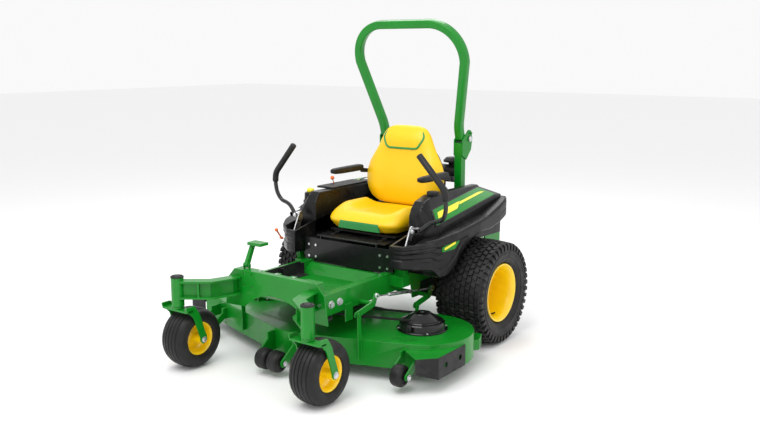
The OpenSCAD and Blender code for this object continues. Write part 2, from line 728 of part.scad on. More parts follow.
module deck_shell() color(green) on_axle() {
    difference() {
        translate([0, 0, skirt_z]) linear_extrude(deck_top_z - skirt_z) deck_outline(lobe_r);
        translate([0, 0, skirt_z - 1]) linear_extrude(deck_top_z - deck_t - skirt_z + 1) deck_outline(lobe_r - deck_t);
        for (s = spindles) translate([s[0], s[1], 100]) cylinder(r = 48, h = 200);
        block([-side_x - lobe_r - 1, chute_y[0] + 14, 0], [-side_x - lobe_r + 60, side_y, deck_top_z - deck_t]);
        for (i = [0 : 2])
            block([side_x - 10 - 14 * i, side_y - 190 - 22 * i, 200], [side_x + 90 - 14 * i, side_y - 182 - 22 * i, 220]);
    }
    // Front corner, front step and the brackets of the wheels and hangers.
    translate([0, 0, deck_top_z - 25 - deck_t]) linear_extrude(deck_t)
        polygon([[side_x + 30, side_y - lobe_r + 6], [side_x + 80, side_y - lobe_r - 4], [scalp_x + 90, side_y - 375],
            [bumper_x - 4, side_y - 290], [bumper_x - 4, side_y - 26], [side_x + lobe_r - 2, side_y - 16],
            [side_x + 200, side_y - 200]]);
    for (s = [-1, 1]) {
        for (x = [-roller_w / 2 - 14, roller_w / 2 + 4]) along_x(s * scalp_x + x, s * scalp_x + x + 10) {
            edge = side_y - sqrt(pow(lobe_r, 2) - pow(scalp_x + s * x - side_x + 5 * s, 2));
            strip([scalp_y, scalp_z], [side_y - 292, 150], 40);
            translate([side_y - 312, 120]) square([edge + 8 - side_y + 312, 66]);
        }
        bar_x(s * scalp_x - 56, s * scalp_x + 56, scalp_y, scalp_z, 8);
    }
    for (x = [-96, 86]) along_x(x, x + 10) {
        strip([roller_y, roller_z], [mid_y - lobe_r - 20, 150], 46);
        translate([mid_y - lobe_r - 40, 90]) square([62, 110]);
    }
    bar_x(-100, 100, roller_y, roller_z, 8);
    for (s = [-1, 1]) {
        difference() {
            along_x(s * strap_x - 3, s * strap_x + 3) {
                tip = rock_front[0] - arm_len * cos(arm_drop);
                strip([tip, hang_z(rock_front[1] + 6)], [tip + 6, deck_top_z - 60], 30);
                translate([tip - 9, 110]) square([38, 96]);
            }
            pin_slot(s, [rock_front[0] - arm_len * cos(arm_drop), hang_z(rock_front[1] + 6)]);
        }
        difference() {
            along_x(s * strap_x - 3, s * strap_x + 3) {
                tip = rock_rear[0] - arm_len * cos(arm_drop);
                strip([tip, hang_z(rock_rear[1])], [tip - 10, deck_top_z + 14], 30);
            }
            pin_slot(s, [rock_rear[0] - arm_len * cos(arm_drop), hang_z(rock_rear[1])]);
            block([s * strap_x - 9, -500, 100], [s * strap_x + 9, -300, deck_top_z - 1]);
        }
    }
    // Ears of the chute hinge and a stiffener at the left rear corner.
    difference() {
        for (y = [chute_y[0] + 20, side_y - 30])
            block([chute_x + 4, y, deck_top_z], [chute_x + 30, y + 8, deck_top_z + 24]);
        translate([chute_x + 14, 0, deck_top_z + 14]) rotate([90, 0, 0])
            cylinder(r = 5 + run, h = 3000, center = true);
    }
    translate([side_x, side_y, 90]) linear_extrude(60) difference() {
        polygon([[115, 240], [125, 280], [213, 280], [251, 190], [225, 150]]);
        circle(r = lobe_r - 3);
    }
}

function hang_z(z) = z - arm_len * sin(arm_drop);

pin_room = 6.8; // half the slot's height, for a pin of radius 6

// Slot in a hanging strap that lets the arm's pin swing a little fore and aft.
module pin_slot(s, at) {
    along_x(s * strap_x - 8, s * strap_x + 8) {
        translate(at - [4, pin_room]) square([8, 2 * pin_room]);
        for (d = [-4, 4]) translate(at + [d, 0]) circle(r = pin_room);
    }
}

module deck_bumper() color(black) on_axle() difference() {
    translate([0, 0, skirt_z]) linear_extrude(deck_top_z - 25 - skirt_z) polygon([
        [scalp_x + 92, side_y - 380], [bumper_x, side_y - 292], [bumper_x, side_y - 26],
        [bumper_x - 7.7, side_y - 26], [bumper_x - 7.7, side_y - 288], [scalp_x + 86, side_y - 373]]);
    translate([0, 0, deck_top_z - 26 - deck_t]) linear_extrude(deck_t + 4)
        polygon([[scalp_x + 60, side_y - 375], [scalp_x + 90, side_y - 375], [bumper_x - 4, side_y - 290],
            [bumper_x - 4, side_y], [bumper_x - 30, side_y]]);
    for (y = [side_y - 80, side_y - 220]) bar_x(bumper_x - 20, bumper_x + 5, y, 135, 14);
    along_x(scalp_x + 50, bumper_x + 5) polygon([[side_y - 400, skirt_z - 1], [side_y - 400, skirt_z + 44],
        [side_y - 290, skirt_z - 1]]);
}

// A dome with flat top: outer shape from r, hollowed by the same shape.
module dome(r, top) {
    translate([0, 0, deck_top_z]) cylinder(r = r, h = 44);
    translate([0, 0, deck_top_z + 44]) cylinder(r1 = r, r2 = r - 16, h = 16);
    translate([0, 0, deck_top_z + 60]) cylinder(r1 = r - 22, r2 = r - 92, h = top - deck_top_z - 60);
}

module belt_run(w) {
    strip(spindles[0], spindles[1], w);
    strip(spindles[1], spindles[2], w);
}

module pulley_covers() color(black) on_axle() for (s = [spindles[0], spindles[2]]) difference() {
    translate([s[0], s[1], 0]) dome(cover_r, cover_top);
    translate([s[0], s[1], -gap]) dome(cover_r - 5, cover_top - 5);
    translate([0, 0, deck_top_z - 1]) linear_extrude(72) difference() {
        belt_run(2 * pulley_r + 44);
        translate(s) circle(r = pulley_r + 14);
        translate([s[0] - (s[0] > 0 ? 0 : 400), s[1] - 300]) square([400, 600]);
    }
}

module spindle_housings() color(steel) on_axle() for (s = spindles) translate([s[0], s[1], 0]) difference() {
    union() {
        translate([0, 0, 150]) cylinder(r = 42, h = deck_top_z - 150);
        translate([0, 0, deck_top_z]) cylinder(r = 80, h = 10);
        translate([0, 0, deck_top_z + 10]) cylinder(r = 44, h = 30);
    }
    translate([0, 0, 140]) cylinder(r = shaft_r + run, h = 200);
}

module deck_belt() color(black) on_axle() translate([0, 0, pulley_z + 5]) linear_extrude(belt_t) difference() {
    belt_run(2 * (pulley_r + gap + 8));
    belt_run(2 * (pulley_r + gap));
}

module blade(i) color(steel) on_axle() translate([spindles[i][0], spindles[i][1], 0]) {
    translate([0, 0, 116]) cylinder(r = shaft_r, h = pulley_z - 116);
    translate([0, 0, deck_top_z + 40 + gap]) cylinder(r = 26, h = pulley_z - deck_top_z - 40 - gap);
    translate([0, 0, pulley_z]) cylinder(r = pulley_r, h = 22);
    translate([0, 0, 100]) cylinder(r = 38, h = 50 - gap);
    rotate(25 + 40 * i) {
        translate([0, 0, 98]) linear_extrude(6) round_rect(blade_len, 62, 8);
        for (s = [-1, 1]) rotate(s > 0 ? 0 : 180)
            translate([blade_len / 2 - 90, 22, 104]) cube([84, 9, 14]);
    }
    hex_bolt([0, 0, 86], "z", 17, 16);
}
module blade_left() blade(2);
module blade_middle() blade(1);
module blade_right() blade(0);

module roller(x, w) {
    difference() {
        translate([x, 0, 0]) turned_x() difference() {
            round_rect(2 * roller_r, w, 20);
            translate([-200, -200]) square([200, 400]);
        }
        bar_x(x - w, x + w, 0, 0, 8 + run);
    }
}

module scalp_wheel(s) color(black) on_axle() translate([0, scalp_y, scalp_z]) roller(s * scalp_x, roller_w - 8);
module scalp_wheel_left() scalp_wheel(1);
module scalp_wheel_right() scalp_wheel(-1);

module front_rollers() color(black) on_axle() translate([0, roller_y, roller_z]) {
    for (s = [-1, 1]) roller(s * 42, roller_w);
    difference() {
        bar_x(-4, 4, 0, 0, 20);
        bar_x(-5, 5, 0, 0, 8 + run);
    }
}

module discharge_chute() color(black) on_axle() {
    hinge = [chute_x + 14, deck_top_z + 14];
    lip = -chute_reach;
    for (y = [chute_y[0] + 40, side_y - 80]) translate([0, y, 0])
        along_y(0, 40) strip(hinge, [chute_x - 12, hinge[1]], 12);
    translate([hinge[0], chute_y[0] + 10, hinge[1]]) rotate([-90, 0, 0])
        cylinder(r = 5, h = side_y - chute_y[0] - 20);
    along_y(chute_y[0], chute_y[1]) polygon([[chute_x - 8, hinge[1] - 7], [chute_x - 8, hinge[1] + 6],
        [chute_x - 30, hinge[1] + 2], [lip, 186], [lip, 130], [lip + 8, 130], [lip + 8, 178],
        [chute_x - 32, hinge[1] - 8]]);
    for (y = [chute_y[0], chute_y[1] - 8]) along_y(y, y + 8)
        polygon([[chute_x - 10, hinge[1] - 7], [chute_x - 32, hinge[1] - 8], [lip + 6, 180],
            [lip + 6, 130], [chute_x - 10, 100]]);
}

// ---- deck lift ----
module lift_pedal() color(green) on_axle() {
    difference() {
        union() {
            bar_x(pedal[0] - 13, pedal[0] + 13, pedal[1], pedal[2], 14);
            along_x(pedal[0] - 10, pedal[0] + 10) strip([pedal[1], pedal[2]], [pedal[1] + 50, 660], 24);
            block([pedal[0] - 14, pedal[1] + 20, 660], [pedal[0] + 84, pedal[1] + 84, 676]);
        }
        bar_x(pedal[0] - 20, pedal[0] + 20, pedal[1], pedal[2], 4);
    }
    bar_x(pedal[0] - 24, pedal[0] + 24, pedal[1], pedal[2], 6);
}

// A rocker shaft with a lift arm and a crank at each end.
module rockshaft(at, z) {
    bar_x(-strap_x + 12, strap_x - 12, at, z, rock_r);
    both_sides() {
        along_x(arm_x - 8, arm_x) {
            strip([at, z], [at - arm_len * cos(arm_drop), hang_z(z)], 34);
            strip([at, z], [at + crank[0], z + crank[1]], 34);
        }
        bar_x(arm_x, strap_x + 6, at - arm_len * cos(arm_drop), hang_z(z), 6);
        bar_x(arm_x - 8, link_x + 12, at + crank[0], z + crank[1], 6);
    }
}

module front_rockshaft() color(green) on_axle() rockshaft(rock_front[0], rock_front[1] + 6);
module rear_rockshaft() color(green) on_axle() rockshaft(rock_rear[0], rock_rear[1]);

// Turnbuckle that keeps the two rocker shafts level.
module lift_links() color(steel) on_axle() both_sides() difference() {
    front = [link_x + 4, rock_front[0] + crank[0], rock_front[1] + 6 + crank[1]];
    rear = [link_x + 4, rock_rear[0] + crank[0], rock_rear[1] + crank[1]];
    run_y = (rear - front) / norm(rear - front);
    union() {
        for (p = [front, rear]) bar_x(link_x, link_x + 8, p[1], p[2], 15);
        rod(front, rear, 3.9);
        rod(front + 110 * run_y, front + 330 * run_y, 10);
    }
    for (p = [front, rear]) bar_x(link_x - 1, link_x + 9, p[1], p[2], 6 + run);
}

// ---- hand controls ----
module throttle_lever() color([0.9, 0.35, 0.1]) on_axle() {
    bar_x(throttle[0] - 11, throttle[0] + 11, throttle[1], panel_top - 6, 2);
    rod([throttle[0], throttle[1], panel_top - 6], [throttle[0], throttle[1] - 14, panel_top + 34], 3);
    translate([throttle[0], throttle[1] - 16, panel_top + 38]) sphere(r = 13);
}

module brake_lever() color([0.9, 0.35, 0.1]) on_axle() {
    bar_x(brake[0] - 14, brake[0] + 14, brake[1], brake[2], 4);
    bar_x(brake[0] - 7.5, brake[0] + 7.5, brake[1], brake[2], 8);
    rod(brake, brake + [0, -42, 54], 5);
    translate(brake + [0, -44, 57]) sphere(r = 11);
}

module pto_knob() color(yellow) on_axle() translate([knob[0], knob[1], 0]) {
    translate([0, 0, knob_z - 26]) cylinder(r = 7, h = 28);
    translate([0, 0, knob_z + gap]) cylinder(r = 24, h = 14);
    translate([0, 0, knob_z + 14]) cylinder(r1 = 22, r2 = 17, h = 12);
}

module fuel_cap() color(black) on_axle() translate([cap_at[0], cap_at[1], 0]) {
    translate([0, 0, cap_z - 16]) cylinder(r = 24, h = 20);
    translate([0, 0, cap_z + gap]) cylinder(r = 36, h = 20);
    for (a = [0 : 30 : 330]) rotate(a) translate([35, -3, cap_z + 1]) cube([4, 6, 17]);
}

main_frame();
front_crossmember();
caster_arms();
floor_pan();
footwell_liner();
seat_box();
fasteners();
console_left();
console_right();
fuel_tank_left();
fuel_tank_right();
control_panel();
engine();
air_cleaner();
muffler();
engine_guard();
hydro_drives();
battery();
rops_posts();
rops_hoop();
drive_tyre_left();
drive_tyre_right();
drive_rim_left();
drive_rim_right();
fork_left();
fork_right();
caster_tyre_left();
caster_tyre_right();
caster_rim_left();
caster_rim_right();
lever_base_left();
lever_base_right();
lever_left();
lever_right();
seat_platform();
seat_pan();
seat_cushion();
seat_back();
armrest_left();
armrest_right();
deck_shell();
deck_bumper();
pulley_covers();
spindle_housings();
deck_belt();
blade_left();
blade_middle();
blade_right();
scalp_wheel_left();
scalp_wheel_right();
front_rollers();
discharge_chute();
lift_pedal();
front_rockshaft();
rear_rockshaft();
lift_links();
throttle_lever();
brake_lever();
pto_knob();
fuel_cap();
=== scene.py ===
import json
import math
import bmesh
import bpy
import numpy as np
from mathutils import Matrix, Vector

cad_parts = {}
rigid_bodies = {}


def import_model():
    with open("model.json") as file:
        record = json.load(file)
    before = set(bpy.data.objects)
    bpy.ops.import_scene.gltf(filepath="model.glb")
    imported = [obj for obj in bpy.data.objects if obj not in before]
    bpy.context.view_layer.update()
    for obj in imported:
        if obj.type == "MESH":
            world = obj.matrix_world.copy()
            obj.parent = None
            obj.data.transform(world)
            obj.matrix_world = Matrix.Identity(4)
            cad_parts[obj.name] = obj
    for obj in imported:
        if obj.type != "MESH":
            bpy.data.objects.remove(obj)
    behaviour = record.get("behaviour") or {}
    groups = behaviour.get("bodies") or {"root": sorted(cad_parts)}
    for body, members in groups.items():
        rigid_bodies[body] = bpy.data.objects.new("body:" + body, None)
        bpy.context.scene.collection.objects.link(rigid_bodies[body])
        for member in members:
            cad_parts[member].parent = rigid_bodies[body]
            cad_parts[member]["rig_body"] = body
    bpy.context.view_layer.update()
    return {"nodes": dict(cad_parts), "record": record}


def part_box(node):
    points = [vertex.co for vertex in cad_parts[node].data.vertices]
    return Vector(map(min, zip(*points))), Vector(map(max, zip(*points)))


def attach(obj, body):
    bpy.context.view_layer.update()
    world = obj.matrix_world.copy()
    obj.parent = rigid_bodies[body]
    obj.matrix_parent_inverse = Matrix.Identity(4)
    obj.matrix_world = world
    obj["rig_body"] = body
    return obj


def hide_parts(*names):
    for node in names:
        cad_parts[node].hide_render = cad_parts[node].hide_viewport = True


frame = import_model()
slotOf = {part["node"]: part["material_slot"] for part in frame["record"]["subparts"]}
rimLeft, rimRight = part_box("drive_rim_left"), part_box("drive_rim_right")
middleX = (rimLeft[1][0] + rimRight[0][0]) * 500  # mm, the machine's centreline
axleY = (rimLeft[0][1] + rimLeft[1][1]) * 500  # mm, the drive axle
print("frame loaded:", len(frame["nodes"]), "nodes")

# each part below is a pair: points in mm from the drive axle on the ground, and faces


def gridFaces(rows, cols, wrapRows=False, wrapCols=False):
    # quads between neighbouring grid points, row by row
    a, b = np.meshgrid(np.arange(rows - (not wrapRows)), np.arange(cols - (not wrapCols)), indexing="ij")
    c, d = (a + 1) % rows, (b + 1) % cols
    return np.stack([a * cols + b, c * cols + b, c * cols + d, a * cols + d], -1).reshape(-1, 4).tolist()


def turned(profile, centre, axis="x", steps=96, closed=False):
    # profile rows are (radius, distance along the axis); each is carried round the axis in equal angles
    prof = np.asarray(profile, float)
    t = np.linspace(0, 2 * np.pi, steps, endpoint=False)[:, None]
    u, v, w = prof[None, :, 0] * np.cos(t), prof[None, :, 0] * np.sin(t), prof[None, :, 1] + 0 * t
    order = {"x": (w, u, v), "y": (v, w, u), "z": (u, v, w)}[axis]
    return np.stack(order, -1).reshape(-1, 3) + np.asarray(centre, float), gridFaces(steps, len(prof), True, closed)


def filleted(path, radius, steps=8):
    # each corner of the path becomes a quadratic arc that starts and ends `radius` from the corner
    p = np.asarray(path, float)
    out = [p[0]]
    for a, b, c in zip(p[:-2], p[1:-1], p[2:]):
        r = min(radius, 0.48 * np.linalg.norm(a - b), 0.48 * np.linalg.norm(c - b))
        s, e = b + (a - b) / np.linalg.norm(a - b) * r, b + (c - b) / np.linalg.norm(c - b) * r
        t = np.linspace(0, 1, steps)[:, None]
        out += list((1 - t) ** 2 * s + 2 * t * (1 - t) * b + t ** 2 * e)
    return np.array(out + [p[-1]])


def tube(path, radius, sides=20, flat=1.0, up=(0, 0, 1)):
    # a circle of each station's radius, square to the path, with its two ends drawn in to a dome
    p = np.asarray(path, float)
    r = np.broadcast_to(np.asarray(radius, float), len(p))
    d = np.gradient(p, axis=0)
    d /= np.linalg.norm(d, axis=1)[:, None]
    dome = np.array([[0.0, 1.0], [0.5, 0.86], [0.86, 0.5], [1.0, 0.0]])  # (radius factor, set-back factor)
    head = [(p[0] - d[0] * r[0] * 0.35 * b, r[0] * a, d[0]) for a, b in dome]
    tail = [(p[-1] + d[-1] * r[-1] * 0.35 * b, r[-1] * a, d[-1]) for a, b in dome[::-1]]
    rows = head + list(zip(p[1:-1], r[1:-1], d[1:-1])) + tail
    c, rr, dd = np.array([q[0] for q in rows]), np.array([q[1] for q in rows]), np.array([q[2] for q in rows])
    side = np.cross(dd, np.asarray(up, float))
    weak = np.linalg.norm(side, axis=1) < 0.2
    side[weak] = np.cross(dd[weak], (0, 1, 0.01))
    side /= np.linalg.norm(side, axis=1)[:, None]
    other = np.cross(side, dd)
    t = np.linspace(0, 2 * np.pi, sides, endpoint=False)
    ring = np.cos(t)[None, :, None] * side[:, None] + flat * np.sin(t)[None, :, None] * other[:, None]
    pts = c[:, None] + ring * rr[:, None, None]
    return pts.reshape(-1, 3), gridFaces(len(c), sides, False, True)


def prism(outline, lo, hi, axis="x"):
    # a flat outline carried straight from lo to hi; outline is (y, z) for x, (x, z) for y and (x, y) for z
    o = np.asarray(outline, float)
    n = len(o)
    pts = []
    for h in (lo, hi):
        k = np.full(n, float(h))
        pts.append({"x": np.stack([k, o[:, 0], o[:, 1]], 1), "y": np.stack([o[:, 0], k, o[:, 1]], 1),
                    "z": np.stack([o[:, 0], o[:, 1], k], 1)}[axis])
    faces = [[i, (i + 1) % n, n + (i + 1) % n, n + i] for i in range(n)]
    return np.concatenate(pts), faces + [list(range(n))[::-1], list(range(n, 2 * n))]


def block(a, b):
    # a box between two opposite corners
    return prism([(a[0], a[1]), (b[0], a[1]), (b[0], b[1]), (a[0], b[1])], a[2], b[2], "z")


def loft(sections):
    # closed rings of equal length joined in order, with a flat face over each end
    s = np.asarray(sections, float)
    n, m = s.shape[:2]
    return s.reshape(-1, 3), gridFaces(n, m, False, True) + [list(range(m)), list(range((n - 1) * m, n * m))[::-1]]


def roundCorners(outline, radius, steps=5):
    # a closed outline whose corners are quadratic arcs
    o = np.asarray(outline, float)
    r = np.broadcast_to(np.asarray(radius, float), len(o))
    t = np.linspace(0, 1, steps)[:, None]
    out = []
    for i in range(len(o)):
        a, b, c = o[i - 1], o[i], o[(i + 1) % len(o)]
        la, lc = np.linalg.norm(a - b) + 1e-9, np.linalg.norm(c - b) + 1e-9
        s, e = b + (a - b) / la * min(r[i], la * 0.45), b + (c - b) / lc * min(r[i], lc * 0.45)
        out.append((1 - t) ** 2 * s + 2 * t * (1 - t) * b + t ** 2 * e)
    return np.concatenate(out)


def boltHead(at, axis, r, h, washer=1.35):
    # a chamfered hexagon on a round washer
    rings = [(r, 0), (r, h * 0.8), (r * 0.86, h), (0, h)]
    return [turned([(0, 0)] + rings, at, axis, 6), cylinder(at, axis, r * washer, 0, h * 0.22, 20)]


def cylinder(at, axis, r, lo, hi, steps):
    # a solid cylinder of radius r, from lo to hi along the axis
    return turned([(0, lo), (r, lo), (r, hi), (0, hi)], at, axis, steps)


def power(x, e):
    # the size of x to the power e, with the sign of x
    return np.sign(x) * np.abs(x) ** e


def onSide(sign, parts):
    # parts drawn for the left side; x becomes -x on the right
    return parts if sign > 0 else [(p * np.array([-1.0, 1, 1]), f) for p, f in parts]


def addPiece(name, parts, material, body, replaces=(), sharp=35, bevel=0.0):
    # the parts as one mesh: equal points welded, faces turned outward
    verts, faces, start = [], [], 0
    for p, f in parts:
        verts.append(p)
        faces += [[start + i for i in face] for face in f]
        start += len(p)
    pts = (np.concatenate(verts) + np.array([middleX, axleY, 0])) / 1000
    mesh = bpy.data.meshes.new(name)
    mesh.from_pydata(pts.tolist(), [], faces)
    bm = bmesh.new()
    bm.from_mesh(mesh)
    bmesh.ops.remove_doubles(bm, verts=bm.verts, dist=1e-5)
    bmesh.ops.dissolve_degenerate(bm, edges=bm.edges, dist=1e-6)
    bmesh.ops.recalc_face_normals(bm, faces=bm.faces)
    bm.to_mesh(mesh)
    bm.free()
    return finishPiece(name, mesh, material, body, replaces, sharp, bevel)


def finishPiece(name, mesh, material, body, replaces=(), sharp=35, bevel=0.0):
    # smooth shading with a crease at each edge over `sharp` degrees, and a bevel in mm
    mesh.materials.clear()
    mesh.materials.append(material)
    mesh.polygons.foreach_set("use_smooth", np.ones(len(mesh.polygons), bool))
    mesh.polygons.foreach_set("material_index", np.zeros(len(mesh.polygons), np.int32))
    mesh.set_sharp_from_angle(angle=math.radians(sharp))
    piece = bpy.data.objects.new(name, mesh)
    bpy.context.scene.collection.objects.link(piece)
    if bevel:
        mod = piece.modifiers.new("Edges", "BEVEL")
        mod.width, mod.segments, mod.limit_method = bevel / 1000, 2, "ANGLE"
        mod.angle_limit, mod.use_clamp_overlap, mod.harden_normals = math.radians(sharp), False, True
    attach(piece, body)
    if replaces:
        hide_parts(*replaces)
    return piece


def softened(node, material, width=1.5, sharp=32):
    # the CAD node's own shape with its sharp edges rounded over
    source = frame["nodes"][node]
    mesh = source.data.copy()
    mesh.name = node + "_soft"
    bm = bmesh.new()
    bm.from_mesh(mesh)
    bmesh.ops.remove_doubles(bm, verts=bm.verts, dist=2e-5)
    bmesh.ops.dissolve_degenerate(bm, edges=bm.edges, dist=1e-5)
    bmesh.ops.dissolve_limit(bm, angle_limit=math.radians(0.4), verts=bm.verts, edges=bm.edges)
    bm.to_mesh(mesh)
    bm.free()
    return finishPiece(node + "_soft", mesh, material, source["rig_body"], (node,), sharp, width)


def makeFinish(name, look):
    # colour, roughness and bump each follow a noise of its own scale
    mat = bpy.data.materials.new(name)
    mat.use_nodes = True
    nodes, links = mat.node_tree.nodes, mat.node_tree.links
    shader = nodes["Principled BSDF"]
    coords = nodes.new("ShaderNodeTexCoord")

    def noise(scale, detail=4.0, stretch=(1, 1, 1)):
        place = nodes.new("ShaderNodeMapping")
        place.inputs["Scale"].default_value = stretch
        links.new(coords.outputs["Object"], place.inputs["Vector"])
        tex = nodes.new("ShaderNodeTexNoise")
        tex.inputs["Scale"].default_value = scale
        tex.inputs["Detail"].default_value = detail
        links.new(place.outputs["Vector"], tex.inputs["Vector"])
        return tex

    patches = noise(look.get("patchScale", 9.0))
    ramp = nodes.new("ShaderNodeValToRGB")
    base, spread = np.array(look["colour"]), look.get("spread", 0.1)
    ramp.color_ramp.elements[0].position, ramp.color_ramp.elements[1].position = 0.3, 0.7
    ramp.color_ramp.elements[0].color = (*np.clip(base * (1 - spread), 0, 1), 1)
    ramp.color_ramp.elements[1].color = (*np.clip(base * (1 + spread), 0, 1), 1)
    links.new(patches.outputs["Fac"], ramp.inputs["Fac"])
    colour = ramp.outputs["Color"]
    if "dust" in look:  # pale dust gathers in broad soft patches
        film = noise(look.get("dustScale", 14.0), 8.0)
        amount = nodes.new("ShaderNodeMapRange")
        amount.inputs["From Min"].default_value, amount.inputs["From Max"].default_value = 0.5, 0.75
        amount.inputs["To Max"].default_value = look["dust"]
        links.new(film.outputs["Fac"], amount.inputs["Value"])
        mix = nodes.new("ShaderNodeMix")
        mix.data_type = "RGBA"
        mix.inputs[7].default_value = (0.28, 0.27, 0.25, 1)
        links.new(amount.outputs["Result"], mix.inputs[0])
        links.new(colour, mix.inputs[6])
        colour = mix.outputs[2]
    links.new(colour, shader.inputs["Base Color"])
    rough = nodes.new("ShaderNodeMapRange")
    low, high = look["rough"]
    rough.inputs["From Min"].default_value, rough.inputs["From Max"].default_value = 0.3, 0.7
    rough.inputs["To Min"].default_value, rough.inputs["To Max"].default_value = low, high
    links.new(noise(look.get("roughScale", 30.0)).outputs["Fac"], rough.inputs["Value"])
    links.new(rough.outputs["Result"], shader.inputs["Roughness"])
    shader.inputs["Specular IOR Level"].default_value = look.get("specular", 0.5)
    shader.inputs["Metallic"].default_value = look.get("metal", 0.0)
    shader.inputs["Coat Weight"].default_value = look.get("coat", 0.0)
    shader.inputs["Coat Roughness"].default_value = look.get("coatRough", 0.08)
    bump = nodes.new("ShaderNodeBump")
    bump.inputs["Strength"].default_value = look.get("bump", 0.1)
    bump.inputs["Distance"].default_value = look.get("depth", 0.0004)
    if look.get("grain") == "cells":
        place = nodes.new("ShaderNodeTexVoronoi")
        place.feature = "SMOOTH_F1"
        place.inputs["Scale"].default_value = look.get("grainScale", 400.0)
        links.new(coords.outputs["Object"], place.inputs["Vector"])
        links.new(place.outputs["Distance"], bump.inputs["Height"])
    else:
        fine = noise(look.get("grainScale", 300.0), 3.0, look.get("stretch", (1, 1, 1)))
        links.new(fine.outputs["Fac"], bump.inputs["Height"])
    links.new(bump.outputs["Normal"], shader.inputs["Normal"])
    return mat


finishLook = {
    "greenPaint": dict(specular=0.3, colour=(0.0006, 0.205, 0.010), spread=0.08, rough=(0.30, 0.40), coat=0.25,
                       bump=0.05, grainScale=160),
    "rimYellow": dict(colour=(0.95, 0.64, 0.002), spread=0.05, rough=(0.28, 0.4), coat=0.5, bump=0.05,
                      grainScale=160),
    "stripeYellow": dict(colour=(0.95, 0.80, 0.01), spread=0.04, rough=(0.25, 0.35), coat=0.4, bump=0.03),
    "blackPaint": dict(specular=0.3, colour=(0.006, 0.006, 0.0065), spread=0.2, rough=(0.26, 0.4), coat=0.2,
                       bump=0.06, grainScale=170),
    "podPlastic": dict(specular=0.3, colour=(0.005, 0.005, 0.0055), spread=0.14, rough=(0.26, 0.36), bump=0.16,
                       grain="cells", grainScale=520, depth=0.0003, dust=0.05),
    "trimPlastic": dict(specular=0.3, colour=(0.009, 0.009, 0.010), spread=0.16, rough=(0.42, 0.56), bump=0.3,
                        grain="cells", grainScale=460, depth=0.0003, dust=0.06),
    "glossBlack": dict(specular=0.3, colour=(0.004, 0.004, 0.0045), spread=0.15, rough=(0.12, 0.24), coat=0.25,
                       bump=0.04),
    "zinc": dict(colour=(0.72, 0.72, 0.74), spread=0.08, rough=(0.24, 0.4), metal=1.0, bump=0.12, grainScale=260,
                 stretch=(1, 6, 6)),
    "bladeSteel": dict(colour=(0.36, 0.36, 0.37), spread=0.15, rough=(0.3, 0.5), metal=1.0, bump=0.15),
    "castAlloy": dict(colour=(0.42, 0.42, 0.43), spread=0.12, rough=(0.45, 0.62), metal=0.9, bump=0.4,
                      grainScale=350),
    "exhaustSteel": dict(colour=(0.34, 0.31, 0.28), spread=0.3, rough=(0.35, 0.6), metal=0.9, bump=0.2),
    "tyreRubber": dict(specular=0.3, colour=(0.009, 0.009, 0.009), spread=0.2, rough=(0.42, 0.58), bump=0.3,
                       grainScale=420, dust=0.05),
    "beltRubber": dict(specular=0.3, colour=(0.014, 0.014, 0.014), spread=0.2, rough=(0.6, 0.75), bump=0.3),
    "gripRubber": dict(specular=0.3, colour=(0.013, 0.013, 0.014), spread=0.2, rough=(0.40, 0.52), bump=0.5,
                       grain="cells", grainScale=330, depth=0.0005),
    "leverPaint": dict(specular=0.3, colour=(0.010, 0.010, 0.011), spread=0.2, rough=(0.2, 0.32), coat=0.4,
                       bump=0.05),
    "seatVinyl": dict(colour=(0.90, 0.55, 0.0), spread=0.035, rough=(0.36, 0.48), bump=0.22, grain="cells",
                      grainScale=300, depth=0.0004, patchScale=5.0),
    "seatGreen": dict(colour=(0.022, 0.26, 0.055), spread=0.08, rough=(0.4, 0.52), bump=0.25, grain="cells",
                      grainScale=300, depth=0.0004),
    "orange": dict(colour=(0.86, 0.16, 0.02), spread=0.06, rough=(0.3, 0.4), coat=0.2, bump=0.05),
    "shadow": dict(colour=(0.004, 0.004, 0.004), spread=0.2, rough=(0.7, 0.85), bump=0.1),
}
finish = {name: makeFinish(name, look) for name, look in finishLook.items()}
print("finishes made:", len(finish))

# angles in degrees, the eye in mm from the drive axle, powers in watts
stageLook = dict(azimuth=35.89, elevation=10.54, eye=(3070.2, -4439.4, 1698.1), lens=41.5, sky=0.95,
                 keyPower=105, fillPower=25, rimPower=60)


def aimed(obj, eye, azimuth, elevation):
    # looks back along the direction given by azimuth and elevation
    obj.rotation_euler = (math.radians(90 - elevation), 0, math.radians(azimuth))
    obj.location = ((eye[0] + middleX) / 1000, (eye[1] + axleY) / 1000, eye[2] / 1000)


